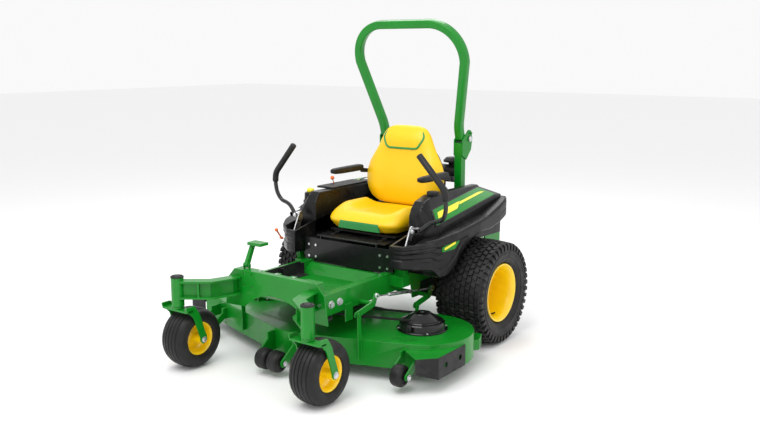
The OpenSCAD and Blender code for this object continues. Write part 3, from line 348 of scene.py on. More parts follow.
def buildStage():
    scene = bpy.context.scene
    scene.view_settings.view_transform = "Standard"
    camera = bpy.data.objects.new("camera", bpy.data.cameras.new("camera"))
    camera.data.lens, camera.data.sensor_width = stageLook["lens"], 36.0
    aimed(camera, stageLook["eye"], stageLook["azimuth"], stageLook["elevation"])
    scene.collection.objects.link(camera)
    scene.camera = camera
    world = bpy.data.worlds.new("studio")
    world.use_nodes = True
    world.node_tree.nodes["Background"].inputs["Color"].default_value = (1, 1, 1, 1)
    world.node_tree.nodes["Background"].inputs["Strength"].default_value = stageLook["sky"]
    scene.world = world
    for name, azimuth, elevation, power, size in (("key", 5, 50, stageLook["keyPower"], 3.0),
                                                  ("fill", 80, 25, stageLook["fillPower"], 3.5),
                                                  ("rim", 215, 55, stageLook["rimPower"], 2.5)):
        light = bpy.data.objects.new(name, bpy.data.lights.new(name, "AREA"))
        light.data.energy, light.data.size = power, size
        a, e = math.radians(azimuth), math.radians(elevation)
        aimed(light, (4500 * math.sin(a) * math.cos(e), -4500 * math.cos(a) * math.cos(e), 700 + 4500 * math.sin(e)),
              azimuth, elevation)
        scene.collection.objects.link(light)
    mesh = bpy.data.meshes.new("floor")
    mesh.from_pydata([(-30, -30, 0), (30, -30, 0), (30, 30, 0), (-30, 30, 0)], [], [(0, 1, 2, 3)])
    floor = bpy.data.objects.new("floor", mesh)
    paper = makeFinish("paper", dict(colour=(0.93, 0.93, 0.93), spread=0.005, rough=(0.8, 0.9), bump=0.0))
    mesh.materials.append(paper)
    scene.collection.objects.link(floor)


buildStage()
print("stage built")

sides = (("left", 1), ("right", -1))  # name, and sign of x

# mm; skew is how far a tread block leans, circles are the radii that nuts and holes stand on
driveWheel = dict(x=612.0, z=305.0, radius=304.5, columns=9, columnReach=124, around=44, blockWidth=25.0,
                  blockLength=31.0, blockDepth=11.0, skew=0.30, rings=(212, 240), nuts=5, nutCircle=58.0,
                  nutRadius=11, nutHeight=15, holes=8, holeCircle=106, holeRadius=13)


def treadBlock(centreA, centreT, halfA, halfT, top, depth, skew):
    # a block on the tread: eight base and shoulder points and four top points, bent round the axle
    a = np.array([-1, 1, 1, -1]) * halfA
    t = np.array([-1, -1, 1, 1]) * halfT
    levels = [(1.0, -depth), (1.0, -2.5), (0.86, 0.0)]
    rows = []
    for scale, drop in levels:
        aa, tt = centreA + a * scale, centreT + (t * scale + a * scale * skew) / top
        rr = top + drop - 0.0011 * np.abs(aa) ** 1.9 * 0.55
        rows.append(np.stack([aa, rr * np.cos(tt), rr * np.sin(tt)], -1))
    pts = np.concatenate(rows)
    return pts, gridFaces(3, 4, False, True) + [[8, 9, 10, 11], [3, 2, 1, 0]]


def moulding(centre, r, a, end, high, wide):
    # a fine ring on a sidewall: an ellipse about (radius r, distance a), turned round the axle
    around = np.linspace(0, 2 * math.pi, 8, endpoint=False)
    return turned([(r + high * math.cos(q), end * (a + wide * math.sin(q))) for q in around], centre, "x", 96, True)


def buildDriveWheel(side, sign):
    # carcass, rim and hub are profiles turned round the axle; the blocks of every other column shift by half a pitch
    w = driveWheel
    centre = (sign * w["x"], 0, w["z"])
    half = [(160, 104), (172, 112), (184, 130), (204, 143), (232, 149), (258, 148), (276, 141), (286, 128), (291, 104),
            (293, 60), (294, 0)]
    carcass = half + [(r, -a) for r, a in half[-2::-1]]
    share, known = np.linspace(0, 1, 70), np.linspace(0, 1, len(carcass))
    fine = np.array([np.interp(share, known, np.array(carcass)[:, k]) for k in (0, 1)]).T
    fine[1:-1] = (fine[:-2] + 2 * fine[1:-1] + fine[2:]) / 4
    parts = [turned(fine, centre, "x", 128, True)]
    blocks = []
    columns = np.linspace(-w["columnReach"], w["columnReach"], w["columns"])
    for k, a in enumerate(columns):
        for i in range(w["around"]):
            turn = 2 * math.pi * (i + 0.5 * (k % 2)) / w["around"]
            blocks.append(treadBlock(a, turn, w["blockWidth"] / 2, w["blockLength"] / 2, w["radius"], w["blockDepth"],
                                     w["skew"] * (1 if k % 2 else -1)))
    for end in (-1, 1):  # lugs that run over the shoulder
        for i in range(w["around"]):
            t = 2 * math.pi * (i + 0.25) / w["around"] + np.array([-1, 1, 1, -1]) * 12 / w["radius"]
            rings = [(end * a, r) for a, r in ((138, 250), (152, 256), (151.5, 284), (143, 293), (128, 296))]
            pts = np.array([[a, r * math.cos(q), r * math.sin(q)] for a, r in rings for q in (t[0], t[1])])
            faces = [[2 * j, 2 * j + 2, 2 * j + 3, 2 * j + 1] for j in range(4)]
            faces += [[0, 1, 9, 8], [0, 8, 6, 4, 2], [1, 3, 5, 7, 9]]
            blocks.append((pts, faces))
    blocks = [(p + np.array(centre), f) for p, f in blocks]
    for r in w["rings"]:
        a = np.interp(r, [184, 204, 232, 258], [130, 143, 149, 148])
        parts += [moulding(centre, r, a, end, 3, 2.2) for end in (-1, 1)]
    addPiece("driveTyre_" + side, parts + blocks, finish["tyreRubber"], "drive_wheel_" + side,
             ("drive_tyre_" + side,), 38)
    rim = [(160, -136), (170, -138), (173, -133), (168, -126), (158, -118), (152, -100), (146, -70), (144, 40),
           (146, 84), (154, 104), (160, 112), (169, 117), (173, 122), (171, 127), (164, 126.5), (156, 118), (150, 108),
           (142, 86), (138, 30), (138, -56), (126, -50), (100, -54), (74, -50), (60, -44), (0, -42), (0, -50),
           (60, -52), (74, -58), (100, -62), (126, -58), (138, -66), (139, -100), (146, -120), (154, -130)]
    hub = [(0, -44), (44, -44), (44, -26), (40, -20), (0, -19)]
    inner = [(0, -58), (60, -58), (60, -110), (52, -138), (20, -139), (20, -310), (0, -310)]
    parts = [turned([(r, sign * a) for r, a in profile], centre, "x", steps)
             for profile, steps in ((rim, 96), (hub, 48), (inner, 48))]
    addPiece("driveRim_" + side, parts, finish["rimYellow"], "drive_wheel_" + side,
             ("drive_rim_" + side,), 40)
    nuts, dark = [], []
    for i in range(w["nuts"]):
        q = 2 * math.pi * i / w["nuts"] + 0.3
        at = (centre[0] - sign * 46, w["nutCircle"] * math.cos(q), centre[2] + w["nutCircle"] * math.sin(q))
        nuts += boltHead(at, "x", w["nutRadius"], sign * w["nutHeight"], 1.3)
    # the thin near-black discs in the shadow finish are painted shade, standing where the rim's holes would show their
    # dark inside
    for i in range(w["holes"]):
        q = 2 * math.pi * i / w["holes"]
        at = (centre[0] - sign * 52.5, w["holeCircle"] * math.cos(q), centre[2] + w["holeCircle"] * math.sin(q))
        dark.append(cylinder(at, "x", w["holeRadius"], 0, sign * 1.2, 24))
    stem = tube([(centre[0] + sign * 60, 0, centre[2] - 141), (centre[0] + sign * 84, 0, centre[2] - 128)], 5, 12)
    addPiece("wheelNuts_" + side, nuts, finish["zinc"], "drive_wheel_" + side, (), 30)
    addPiece("rimHoles_" + side, dark + [stem], finish["shadow"], "drive_wheel_" + side, (), 30)


for side, sign in sides:
    buildDriveWheel(side, sign)
print("drive wheels built")

# mm; grooves are distances from the middle of the tread
casterWheel = dict(x=455.0, y=-1325.0, z=165.0, radius=165.0, middle=118, halfWidth=81.0, grooves=(-46, -23, 0, 23, 46),
                   grooveDepth=5.0, grooveWidth=2.6, pivotY=-1410, legAt=90.5, legThick=9, stemRadius=18.9,
                   axleRadius=7.9)


def buildCaster(side, sign):
    # the tyre's section is a squared ellipse in powers of sine and cosine, less a narrow dip at each groove
    w = casterWheel
    centre = (sign * w["x"], w["y"], w["z"])
    q = np.linspace(-0.62 * math.pi, 0.62 * math.pi, 150)  # round section, flattened on the tread
    a = w["halfWidth"] * power(np.sin(q), 0.92)
    r = w["middle"] + (w["radius"] - w["middle"]) * power(np.cos(q), 0.72)
    for g in w["grooves"]:
        r -= w["grooveDepth"] * np.exp(-((a - g) / w["grooveWidth"]) ** 4) * (r > 140)
    section = [(88, -58)] + list(zip(np.maximum(r, 92), a)) + [(88, 58)]
    parts = [turned(section, centre, "x", 128, True)]
    parts += [moulding(centre, w["middle"], 80, end, 2.5, 2.0) for end in (-1, 1)]
    addPiece("casterTyre_" + side, parts, finish["tyreRubber"], "caster_wheel_" + side,
             ("caster_tyre_" + side,), 45)
    outer = [(94, 60), (92, 65), (88, 66), (82, 60), (78, 48), (76, 22), (64, 12), (46, 16), (34, 28), (26, 40),
             (26, 91.6), (8.2, 91.6), (8.2, 0), (80, 0), (84, 40), (88, 54)]
    parts = [turned([(r, end * a) for r, a in outer], centre, "x", 80, True) for end in (-1, 1)]
    addPiece("casterRim_" + side, parts, finish["rimYellow"], "caster_wheel_" + side,
             ("caster_rim_" + side,), 40)
    pivot = (centre[0], w["pivotY"], 515.5)
    caps = [turned([(0, 0), (35.5, 0), (35.5, 4), (31, 8), (26, 8.5), (24, 5), (0, 5)], pivot, "z", 48),
            turned([(0, 9), (19, 9), (21, 5), (21, 4), (0, 4)], pivot, "z", 32)]
    addPiece("pivotCap_" + side, caps, finish["trimPlastic"], "chassis", (), 30)


def buildFork(side, sign):
    # a flat bar bent from the crown over the tyre and down to the axle, outside and inside the wheel
    w = casterWheel
    reach = w["legAt"] + w["legThick"]
    outline = [(-1441, 366), (-1382, 366), (-1374, 352), (-1352, 320), (-1303, 178), (-1303, 158), (-1318, 144),
               (-1334, 144), (-1347, 158), (-1348, 176), (-1390, 300), (-1420, 330), (-1440, 346)]
    parts = [prism(roundCorners(outline, 9), lo, lo + w["legThick"], "x") for lo in (-reach, w["legAt"])]
    crown = roundCorners([(-reach, -1440), (reach, -1440), (reach, -1382), (-reach, -1382)], 12)
    parts.append(prism(crown, 334.5, 345.5, "z"))
    collar = [(0, 0), (31, 0), (33, 4), (33, 8), (30, 12), (0, 12)]
    parts.append(turned(collar, (0, w["pivotY"], 345), "z", 48))
    parts.append(cylinder((0, w["pivotY"], 0), "z", w["stemRadius"], 345, 520, 32))
    parts.append(cylinder((0, w["y"], w["z"]), "x", w["axleRadius"], -99, 99, 24))
    parts = [(p + np.array([sign * w["x"], 0, 0]), f) for p, f in parts]
    addPiece("fork_" + side + "_bars", parts, finish["greenPaint"], "fork_" + side,
             ("fork_" + side,), 32, 1.6)
    nuts = [part for end in (1, -1)
            for part in boltHead((sign * w["x"] + end * reach, w["y"], w["z"]), "x", 13, end * 10)]
    addPiece("axleNut_" + side, nuts, finish["zinc"], "fork_" + side, (), 30)


for build in (buildCaster, buildFork):
    for side, sign in sides:
        build(side, sign)
print("casters built")

# mm and degrees; bolster is how far the side pads rise
seatShape = dict(halfWidth=270.0, front=-412.0, rear=68.0, base=641.0, top=758.0, bolster=52.0, lean=6.0,
                 backThickness=84.0, backFront=8.0, foot=762, footY=12, backMiddle=1000, armAt=(0, 146, 926))


def buildCushion():
    # a squared ellipsoid: u goes round the outline, v from the middle of the top over the edge to the underside
    s = seatShape
    u = np.linspace(0, 2 * np.pi, 180, endpoint=False)[:, None]
    v = np.linspace(0, 1, 84)[None, :]
    cx, cy = power(np.cos(u), 0.38), power(np.sin(u), 0.38)
    depth, middle = (s["rear"] - s["front"]) / 2, (s["rear"] + s["front"]) / 2
    # equal steps from the middle out, so that the crown is smooth
    reach = np.where(v < 0.5, np.minimum(1, v / 0.5) ** 0.8, np.minimum(1, (1 - v) / 0.5) ** 0.8)
    rho = np.sin(np.clip(reach, 0, 1) * np.pi / 2) ** 0.9
    lift = np.where(v < 0.5, 1, -1) * (1 - rho ** 5.0) ** 0.42
    x, y = s["halfWidth"] * rho * cx, middle + depth * rho * cy
    side = np.clip((np.abs(x) - 120) / 110, 0, 1)
    along = np.clip((y - s["front"]) / 190, 0, 1)
    along = along * along * (3 - 2 * along) * (1 - 0.9 * np.clip((y + 50) / 70, 0, 1))
    swell = s["bolster"] * side * side * (3 - 2 * side) * along
    swell = swell - 16 * (1 - side) * along * np.exp(-((y + 120) / 200) ** 2)
    swell += 6 * np.cos(x / 268 * np.pi / 2) * (1 - along) - 26 * np.clip((-340 - y) / 70, 0, 1) ** 1.5
    half = (s["top"] - s["base"]) / 2
    z = s["base"] + half + half * lift + np.where(lift > 0, swell * lift, 0)
    pull = 1 - 0.03 * np.exp(-((z - s["base"] - 34) / 16) ** 2) * (rho > 0.9)  # seam pulled in under the top panel
    pts = np.stack([x * pull, middle + (y - middle) * pull, z], -1)
    parts = [(pts.reshape(-1, 3), gridFaces(180, 84, True, False))]
    piece = addPiece("seatCushion", parts, finish["seatVinyl"], "seat", ("seat_cushion",), 80)
    front = middle - depth * 0.985
    n = 24  # the patch is a thin grid that follows the cushion's front
    xs = np.linspace(-1, 1, n)[:, None]
    zs = np.linspace(0, 1, 10)[None, :]
    half = 152 - 14 * zs
    px, pz = xs * half + 0 * zs, 660 + 52 * zs + 0 * xs
    bend = 0.00022 * px ** 2 * 0.3
    grid = np.stack([px, front - 5.2 + bend + 7 * np.clip(zs - 0.75, 0, 1) ** 2 * 16, pz], -1)
    back = grid + np.array([0, 7.0, 0])
    patchParts = [(np.concatenate([grid.reshape(-1, 3), back.reshape(-1, 3)]),
                   gridFaces(n, 10) + [[n * 10 + i for i in f] for f in gridFaces(n, 10)])]
    addPiece("seatPatch", patchParts, finish["seatGreen"], "seat", (), 60)


def leanBack(pts):
    # turns points back about the foot of the backrest
    q = math.radians(seatShape["lean"])
    p = np.array(pts, float)
    h, y = p[..., 2] - seatShape["foot"], p[..., 1] - seatShape["footY"]
    p[..., 1], p[..., 2] = (seatShape["footY"] + y * math.cos(q) + h * math.sin(q),
                            seatShape["foot"] - y * math.sin(q) + h * math.cos(q))
    return p


def backFront(x, z):
    # how far the padded face stands in front of the shell, for a point of the backrest
    centre = np.hypot(x / 300, (z - 1000) / 270)
    side = np.exp(-((np.abs(x) - 205) / 62) ** 2) * np.clip((1120 - z) / 160, 0, 1) * np.clip((z - 760) / 80, 0, 1)
    lumbar = 14 * np.exp(-((z - 900) / 90) ** 2) * np.exp(-(x / 150) ** 2)
    head = 16 * np.exp(-((z - 1165) / 62) ** 2) * np.exp(-(x / 150) ** 4)
    return 20 * side + lumbar + head + 10 * (1 - centre ** 2)


def buildBackrest():
    # the outline shrinks to its middle by the sine of v, and the faces bulge by (1 - rho^6)^0.45
    right = [(0, 752), (110, 753), (186, 760), (240, 790), (274, 842), (288, 905), (284, 962), (266, 1015), (238, 1062),
             (212, 1105), (190, 1150), (170, 1196), (140, 1232), (96, 1248), (0, 1251)]
    outline = np.array(right + [(-x, z) for x, z in right[-2:0:-1]], float)
    step = np.linalg.norm(np.roll(outline, -1, 0) - outline, axis=1)
    run = np.concatenate([[0], np.cumsum(step)])
    t = np.linspace(0, run[-1], 200, endpoint=False)
    ring = np.stack([np.interp(t, run, np.append(outline[:, k], outline[0, k])) for k in (0, 1)], 1)
    for _ in range(6):
        ring = (np.roll(ring, 1, 0) + 2 * ring + np.roll(ring, -1, 0)) / 4
    v = np.linspace(0, 1, 72)
    reach = np.where(v < 0.5, (v / 0.5), ((1 - v) / 0.5)) ** 0.8
    rho = np.sin(reach * np.pi / 2) ** 0.9
    centre = np.array([0, float(seatShape["backMiddle"])])
    flat = centre + (ring[:, None] - centre) * rho[None, :, None]
    edge = (1 - rho ** 6) ** 0.45
    x, z = flat[..., 0], flat[..., 1]
    front = v < 0.5
    half = seatShape["backThickness"] / 2
    y = seatShape["backFront"] + half + 4 + np.where(front, -1, 1)[None] * edge[None] * half
    y = y - np.where(front, 1, 0)[None] * backFront(x, z) * edge[None]
    y += np.where(front, 0, 1)[None] * edge[None] * -4
    parts = [(leanBack(np.stack([x, y, z], -1)).reshape(-1, 3), gridFaces(200, 72, True, False))]
    piece = addPiece("seatBack", parts, finish["seatVinyl"], "seat", ("seat_back",), 80)
    line = filleted([(-118, 1226), (-152, 1178), (-112, 1106), (112, 1106), (152, 1178), (118, 1226)], 26, 10)
    fine = np.concatenate([np.linspace(a, b, 6)[:-1] for a, b in zip(line[:-1], line[1:])] + [line[-1:]])
    rim = np.clip(np.hypot(fine[:, 0] / 262, (fine[:, 1] - 1000) / 254), 0, 0.985)
    y = seatShape["backFront"] + half + 4 - (1 - rim ** 6) ** 0.45 * (half + backFront(fine[:, 0], fine[:, 1])) - 0.5
    path = leanBack(np.stack([fine[:, 0], y, fine[:, 1]], -1))
    addPiece("seatPiping", [tube(path, 6.5, 12, 1.0, (0, 1, 0))], finish["seatGreen"], "seat", (), 60)


def buildSeatShell():
    # pan, rails, armrest brackets, and a back plate whose points shift back as they rise, at the seat's lean
    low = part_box("seat_pan")[0][2] * 1000
    face = lambda z: 104.8 + (z - seatShape["foot"]) * math.tan(math.radians(seatShape["lean"]))
    right = [(0, 634), (170, 634), (196, 720), (236, 800), (262, 860), (266, 905), (246, 980), (205, 1056), (168, 1098),
             (0, 1099)]
    outline = roundCorners(right[1:-1] + [(-x, z) for x, z in right[-2:0:-1]], 18)
    pts, faces = prism(outline, 0, 12, "y")
    pts[:, 1] += face(pts[:, 2])
    parts = [(pts, faces), block((-239, -375, 630.3), (239, 98, 641.5))]
    for sign in (-1, 1):
        a, b = sorted((sign * 158, sign * 192))
        parts.append(block((a, -400, low), (b, -140, 631)))
        a, b = sorted((sign * 228, sign * 291.5))
        parts.append(block((a, face(926) + 5, 911), (b, 146, 941)))
        boss = [(8.6, sign * 268), (14, sign * 268), (14, sign * 291.7), (8.6, sign * 291.7)]
        parts.append(turned(boss, seatShape["armAt"], "x", 32, True))
    addPiece("seatShell", parts, finish["blackPaint"], "seat", ("seat_pan",), 32, 1.2)


buildCushion()
buildBackrest()
buildSeatShell()


def buildArmrest(side, sign):
    # the pad's section is a squared ellipse, with its half width, half height and middle given at each y
    stations = [(-262, 8, 8, 966), (-256, 16, 13, 965), (-232, 22, 18, 964), (-180, 25, 20, 963), (-80, 26, 21, 963),
                (10, 26, 21, 963), (38, 23, 18, 963), (46, 14, 10, 963)]
    q = np.linspace(0, 2 * np.pi, 40, endpoint=False)
    y = np.linspace(-262, 46, 40)
    data = np.array(stations, float)
    w, h, c = (np.interp(y, data[:, 0], data[:, k]) for k in (1, 2, 3))
    pad = loft([np.stack([322 + w[k] * power(np.cos(q), 0.7), np.full(40, y[k]),
                          c[k] + h[k] * power(np.sin(q), 0.7)], -1) for k in range(40)])
    link = roundCorners([(160, 916), (160, 936), (40, 958), (10, 958), (10, 934), (40, 930)], 8)
    pin = [(0, -34), (7.9, -34), (7.9, -1), (14, -1), (14, 4), (0, 4)]
    parts = [pad, prism(link, 298.5, 306, "x"), turned(pin, (307, *seatShape["armAt"][1:]), "x", 24)]
    addPiece("armrest_" + side + "_pad", onSide(sign, parts), finish["trimPlastic"], "armrest_" + side,
             ("armrest_" + side,), 40, 0)


for side, sign in sides:
    buildArmrest(side, sign)
print("seat built")

# radii in mm, and the height at which the grip begins
leverShape = dict(tube=12.5, neck=16.5, grip=18.5, bend=46.0, gripFrom=905)


def buildLever(side, sign):
    # one path with quadratic bends: a tube up to the grip's height, the grip beyond it
    s = leverShape
    path = filleted([(446, -462, 706), (520, -432, 768), (592, -430, 786), (618, -440, 836), (621, -448, 900),
                     (614, -450, 958), (455, -460, 1137)], s["bend"], 12)
    cut = int(np.argmax(path[:, 2] > s["gripFrom"]))
    rod = tube(path[:cut + 3], s["tube"], 24, 1.0, (0, 1, 0))
    cheek = roundCorners([(414, 702), (446, 700), (472, 716), (466, 732), (430, 730), (416, 726)], 7)
    yoke = [prism(cheek, -489, -482.5, "y"), prism(cheek, -433.5, -427, "y"),
            block((450, -489, 704), (466, -427, 728)),
            cylinder((430, 0, 716), "y", 7.9, -495, -421, 24)]
    radius = np.where(np.arange(len(path) - cut + 1) < 1, s["neck"], s["grip"])
    grip = tube(path[cut - 1:], radius, 28, 1.0, (0, 1, 0))
    addPiece("leverTube_" + side, onSide(sign, [rod] + yoke), finish["leverPaint"], "lever_" + side,
             ("lever_" + side,), 35)
    addPiece("leverGrip_" + side, onSide(sign, [grip]), finish["gripRubber"], "lever_" + side, (), 50)
    bolts = boltHead((412, -520, 590), "x", 13, 9) + boltHead((430, -489.5, 716), "y", 9, -6)
    addPiece("leverBolts_" + side, onSide(sign, bolts), finish["zinc"], "lever_base_" + side, (), 30)


for side, sign in sides:
    buildLever(side, sign)
print("levers built")

# mm; plan, top and bottom are (y, value) points
podShape = dict(inner=345.0, wallAt=358.0, wellOuter=470.0, wellFront=-572.0, wellRear=-398.0, rim=44.0, band=46.0,
                recess=8.0, arch=359.0, stations=230)
podPlan = [(-590, 345), (-586, 410), (-566, 440), (-500, 520), (-430, 565), (-280, 604), (-60, 622), (180, 622),
           (270, 614), (304, 592)]
podTop = [(-590, 640), (-434, 672), (40, 745), (305, 826)]
podBottom = [(-590, 512), (-560, 508), (-446, 498), (-418, 452), (-362, 452), (-150, 620), (180, 684), (305, 720)]


def smooth(x):
    # eases from 0 to 1 as x goes from 0 to 1
    x = np.clip(x, 0, 1)
    return x * x * (3 - 2 * x)


def curve(points, y, blur=9.0):
    # a broken line through (y, value) points, averaged over a few mm so that its corners are soft
    p = np.array(points, float)
    return sum(np.interp(y + d * blur, p[:, 0], p[:, 1]) for d in (-1.6, -0.8, 0, 0.8, 1.6)) / 5


def podSkin(y):
    # outer edge, top and bottom of the console at y; the bottom clears the drive tyre
    outer, top, bottom = curve(podPlan, y, 6.0), curve(podTop, y, 12.0), curve(podBottom, y, 10.0)
    arch = driveWheel["z"] + np.sqrt(np.maximum(0, podShape["arch"] ** 2 - y ** 2))
    return outer, top, np.where(np.abs(y) < podShape["arch"], np.maximum(bottom, arch), bottom)


def podSection(y):
    # one ring of the console at y: flat inside and top, quarter-circle shoulder and foot, and an eased-in recess
    s = podShape
    outer, top, bottom = podSkin(y)
    inWell = s["wellFront"] < y < s["wellRear"]
    inner = min(s["wellOuter"], outer - 14) if inWell else s["inner"]
    outer = max(outer, inner + 12)
    z = np.linspace(top - 16, bottom + 12, 70)
    height = top - bottom
    recess = smooth((top - z - s["rim"]) / 7) * smooth((z - bottom - s["band"]) / 7)
    recess = recess * min(1, max(0, (height - 96) / 30))
    x = outer - s["recess"] * recess - 5 * smooth((top - z) / height) * (y < -380)
    nose = smooth((-372 - y) / 26) * smooth((y + 592) / 14)
    for share in (0.42, 0.6, 0.78):
        x = x - 4.5 * nose * np.exp(-((z - bottom - share * height) / 5.0) ** 4)
    arc = np.linspace(0, np.pi / 2, 7)
    shoulder = np.stack([outer - 16 + 16 * np.sin(arc), top - 16 + 16 * np.cos(arc)], 1)
    foot = np.stack([x[-1] - 12 + 12 * np.cos(arc), bottom + 12 - 12 * np.sin(arc)], 1)
    ring = [(inner, bottom), (inner, top - 3), (inner + 3, top)]
    flatTop = np.stack([np.linspace(inner + 6, max(outer - 18, inner + 7), 6), np.full(6, top)], 1)
    pts = np.concatenate([ring, flatTop, shoulder, np.stack([x, z], 1)[1:-1], foot])
    return np.stack([np.maximum(pts[:, 0], inner), np.full(len(pts), y), pts[:, 1]], 1)


def buildPod():
    # rings from front to rear, doubled where the well begins and ends, and the well's inner wall
    s = podShape
    y = np.linspace(-590, 306, s["stations"])
    edges = [s["wellFront"] - 0.5, s["wellFront"] + 0.5, s["wellRear"] - 0.5, s["wellRear"] + 0.5]
    y = np.sort(np.concatenate([y, edges]))
    body = loft([podSection(v) for v in y])
    wall = [(-574, 512), (-574, 642), (-434, 671), (-396, 678), (-396, 452), (-418, 452), (-446, 498)]
    return [body, prism(wall, s["inner"], s["wallAt"], "x")]


def ruled(share, y, lift=0.0):
    # the tank's painted side: straight lines from its upper edge to its lower edge, lifted off by a few mm
    up = np.stack([np.interp(y, [-300, 262], [434, 404]), np.interp(y, [-300, 262], [812, 868])], -1)
    low = np.stack([np.interp(y, [-392, 250], [512, 556]), np.interp(y, [-392, 250], [722, 836])], -1)
    d = low - up
    n = np.stack([-d[..., 1], d[..., 0]], -1) / np.linalg.norm(d, axis=-1)[..., None]
    p = up + d * share[..., None] + n * lift
    return np.stack([p[..., 0], y, p[..., 1]], -1)


def tankSection(y, ceiling):
    # one ring of the tank at y: drawn in at the nose, and rippled there by a cosine of y
    side = ruled(np.array([0.0, 1.0]), np.full(2, float(y)))
    top = float(np.interp(y, [-392, -372, -340, -250, 298], [786, 826, 858, 884, 880]))
    (x0, _, z0), (x1, _, z1) = side
    corners = np.array([(345, 600), (345, top), (x0 - 14, top), (x0, z0), (x1, z1), (x1 + 3, z1 - 14), (x1 + 3, 600)])
    shrink = float(np.interp(y, [-392, -384, -365, -335, -300], [0.66, 0.78, 0.9, 0.975, 1.0]))
    rib = 2.6 * math.cos(2 * math.pi * y / 17) * float(smooth((-308 - y) / 8)) * float(smooth((y + 384) / 8))
    corners[:, 0] = 345 + (corners[:, 0] - 345) * shrink + rib * (corners[:, 0] > 346)
    corners[:, 1] = np.minimum(corners[:, 1], ceiling)
    ring = roundCorners(corners, [1, 10, 8, 5, 7, 4, 1], 6)
    return np.stack([ring[:, 0], np.full(len(ring), y), ring[:, 1]], 1)


def tankPanel(low, high, front, rear, lift):
    # a thin plate on the ruled side between two shares of its height, with slanting front and rear ends
    a, b = np.linspace(0, 1, 40)[:, None], np.linspace(0, 1, 12)[None, :]
    share = low + (high - low) * b + 0 * a
    start, end = front[0] + (front[1] - front[0]) * b, rear[0] + (rear[1] - rear[0]) * b
    y = start + (end - start) * a
    corner = 1 - 0.06 * (1 - smooth(np.minimum(a, 1 - a) / 0.03)) * np.abs(2 * b - 1) ** 4
    share = 0.5 * (low + high) + (share - 0.5 * (low + high)) * corner
    front = ruled(share, y, lift).reshape(-1, 3)
    back = ruled(share, y, -3.0).reshape(-1, 3)
    n, m = 40, 12
    rim = [i * m for i in range(n)] + [(n - 1) * m + j for j in range(1, m)]
    rim += [i * m + m - 1 for i in range(n - 2, -1, -1)] + list(range(m - 2, 0, -1))
    walls = [[rim[k - 1], rim[k], rim[k] + n * m, rim[k - 1] + n * m] for k in range(len(rim))]
    return np.concatenate([front, back]), gridFaces(n, m) + [[n * m + i for i in f] for f in gridFaces(n, m)] + walls


def skinPanel(corners, lift=2.5, sink=9.0):
    # a thin plate on the console's outer skin; corners are (y, z)
    y, z = roundCorners(corners, 7).T
    pts = [np.stack([podSkin(y)[0] + d, y, z], 1) for d in (lift - podShape["recess"], -sink)]
    n = len(y)
    faces = [[i, (i + 1) % n, n + (i + 1) % n, n + i] for i in range(n)] + [list(range(n)), list(range(n, 2 * n))[::-1]]
    return np.concatenate(pts), faces


# mm; the left tank carries the fuel cap at capAt, the right one a round tower at towerAt
tankShape = dict(capAt=(398, -228), towerAt=(472, -289), front=-392, nose=-300, rear=298,
                 ceiling=(900, 846), low=(0.07, 0.3))


def buildSide(side, sign):
    # console, tank and the thin coloured plates on them, each lifted a little further than the one below
    s, right = tankShape, int(sign < 0)
    tankNode, podNode = "fuel_tank_" + side, "console_" + side
    addPiece("pod_" + side, onSide(sign, buildPod()), finish["podPlastic"], "chassis", (podNode,), 30)
    stations = np.concatenate([np.linspace(s["front"], s["nose"], 60), np.linspace(s["nose"] + 6, s["rear"], 40)])
    tank = [loft([tankSection(y, s["ceiling"][right]) for y in stations])]
    if right:
        tank.append(turned([(0, 0), (40, 0), (37, 52), (34, 56), (31, 57), (0, 57)], (*s["towerAt"], 770), "z", 48))
        tank.append(turned([(0, 0), (46, 0), (46, 14), (41, 18), (0, 18)], (*s["towerAt"], 762), "z", 48))
    else:
        tank.append(turned([(0, 0), (33, 0), (33, 6), (31, 7.5), (0, 7.5)], (*s["capAt"], 876), "z", 48))
    addPiece("tank_" + side, onSide(sign, tank), finish["podPlastic"], "chassis", (tankNode,), 30)
    low = s["low"][right]
    border = tankPanel(low - 0.05, 0.95, (-306, -366), (276, 268), 1.2)
    panel = tankPanel(low, 0.9, (-296, -352), (262, 254), 2.4)
    stripe = [tankPanel(0.34, 0.47, (-30, -60), (196, 236), 3.2), tankPanel(0.30, 0.62, (-276, -306), (-26, -104), 3.2)]
    plate = skinPanel([(-392, 598), (-392, 626), (-262, 668), (-262, 640), (-300, 604)])
    dash = skinPanel([(-376, 606), (-376, 620), (-292, 648), (-292, 634)], 3.3)
    for name, parts, look, slot in (("tankFrame", [border], "glossBlack", "pod_plastic"),
                                    ("tankPanel", [panel], "greenPaint", "green_paint"),
                                    ("tankStripe", stripe, "stripeYellow", "signal_yellow"),
                                    ("skinPanel", [plate], "greenPaint", "green_paint"),
                                    ("skinStripe", [dash], "stripeYellow", "signal_yellow")):
        addPiece(name + "_" + side, onSide(sign, parts), finish[look], "chassis", (), 40)


for side, sign in sides:
    buildSide(side, sign)


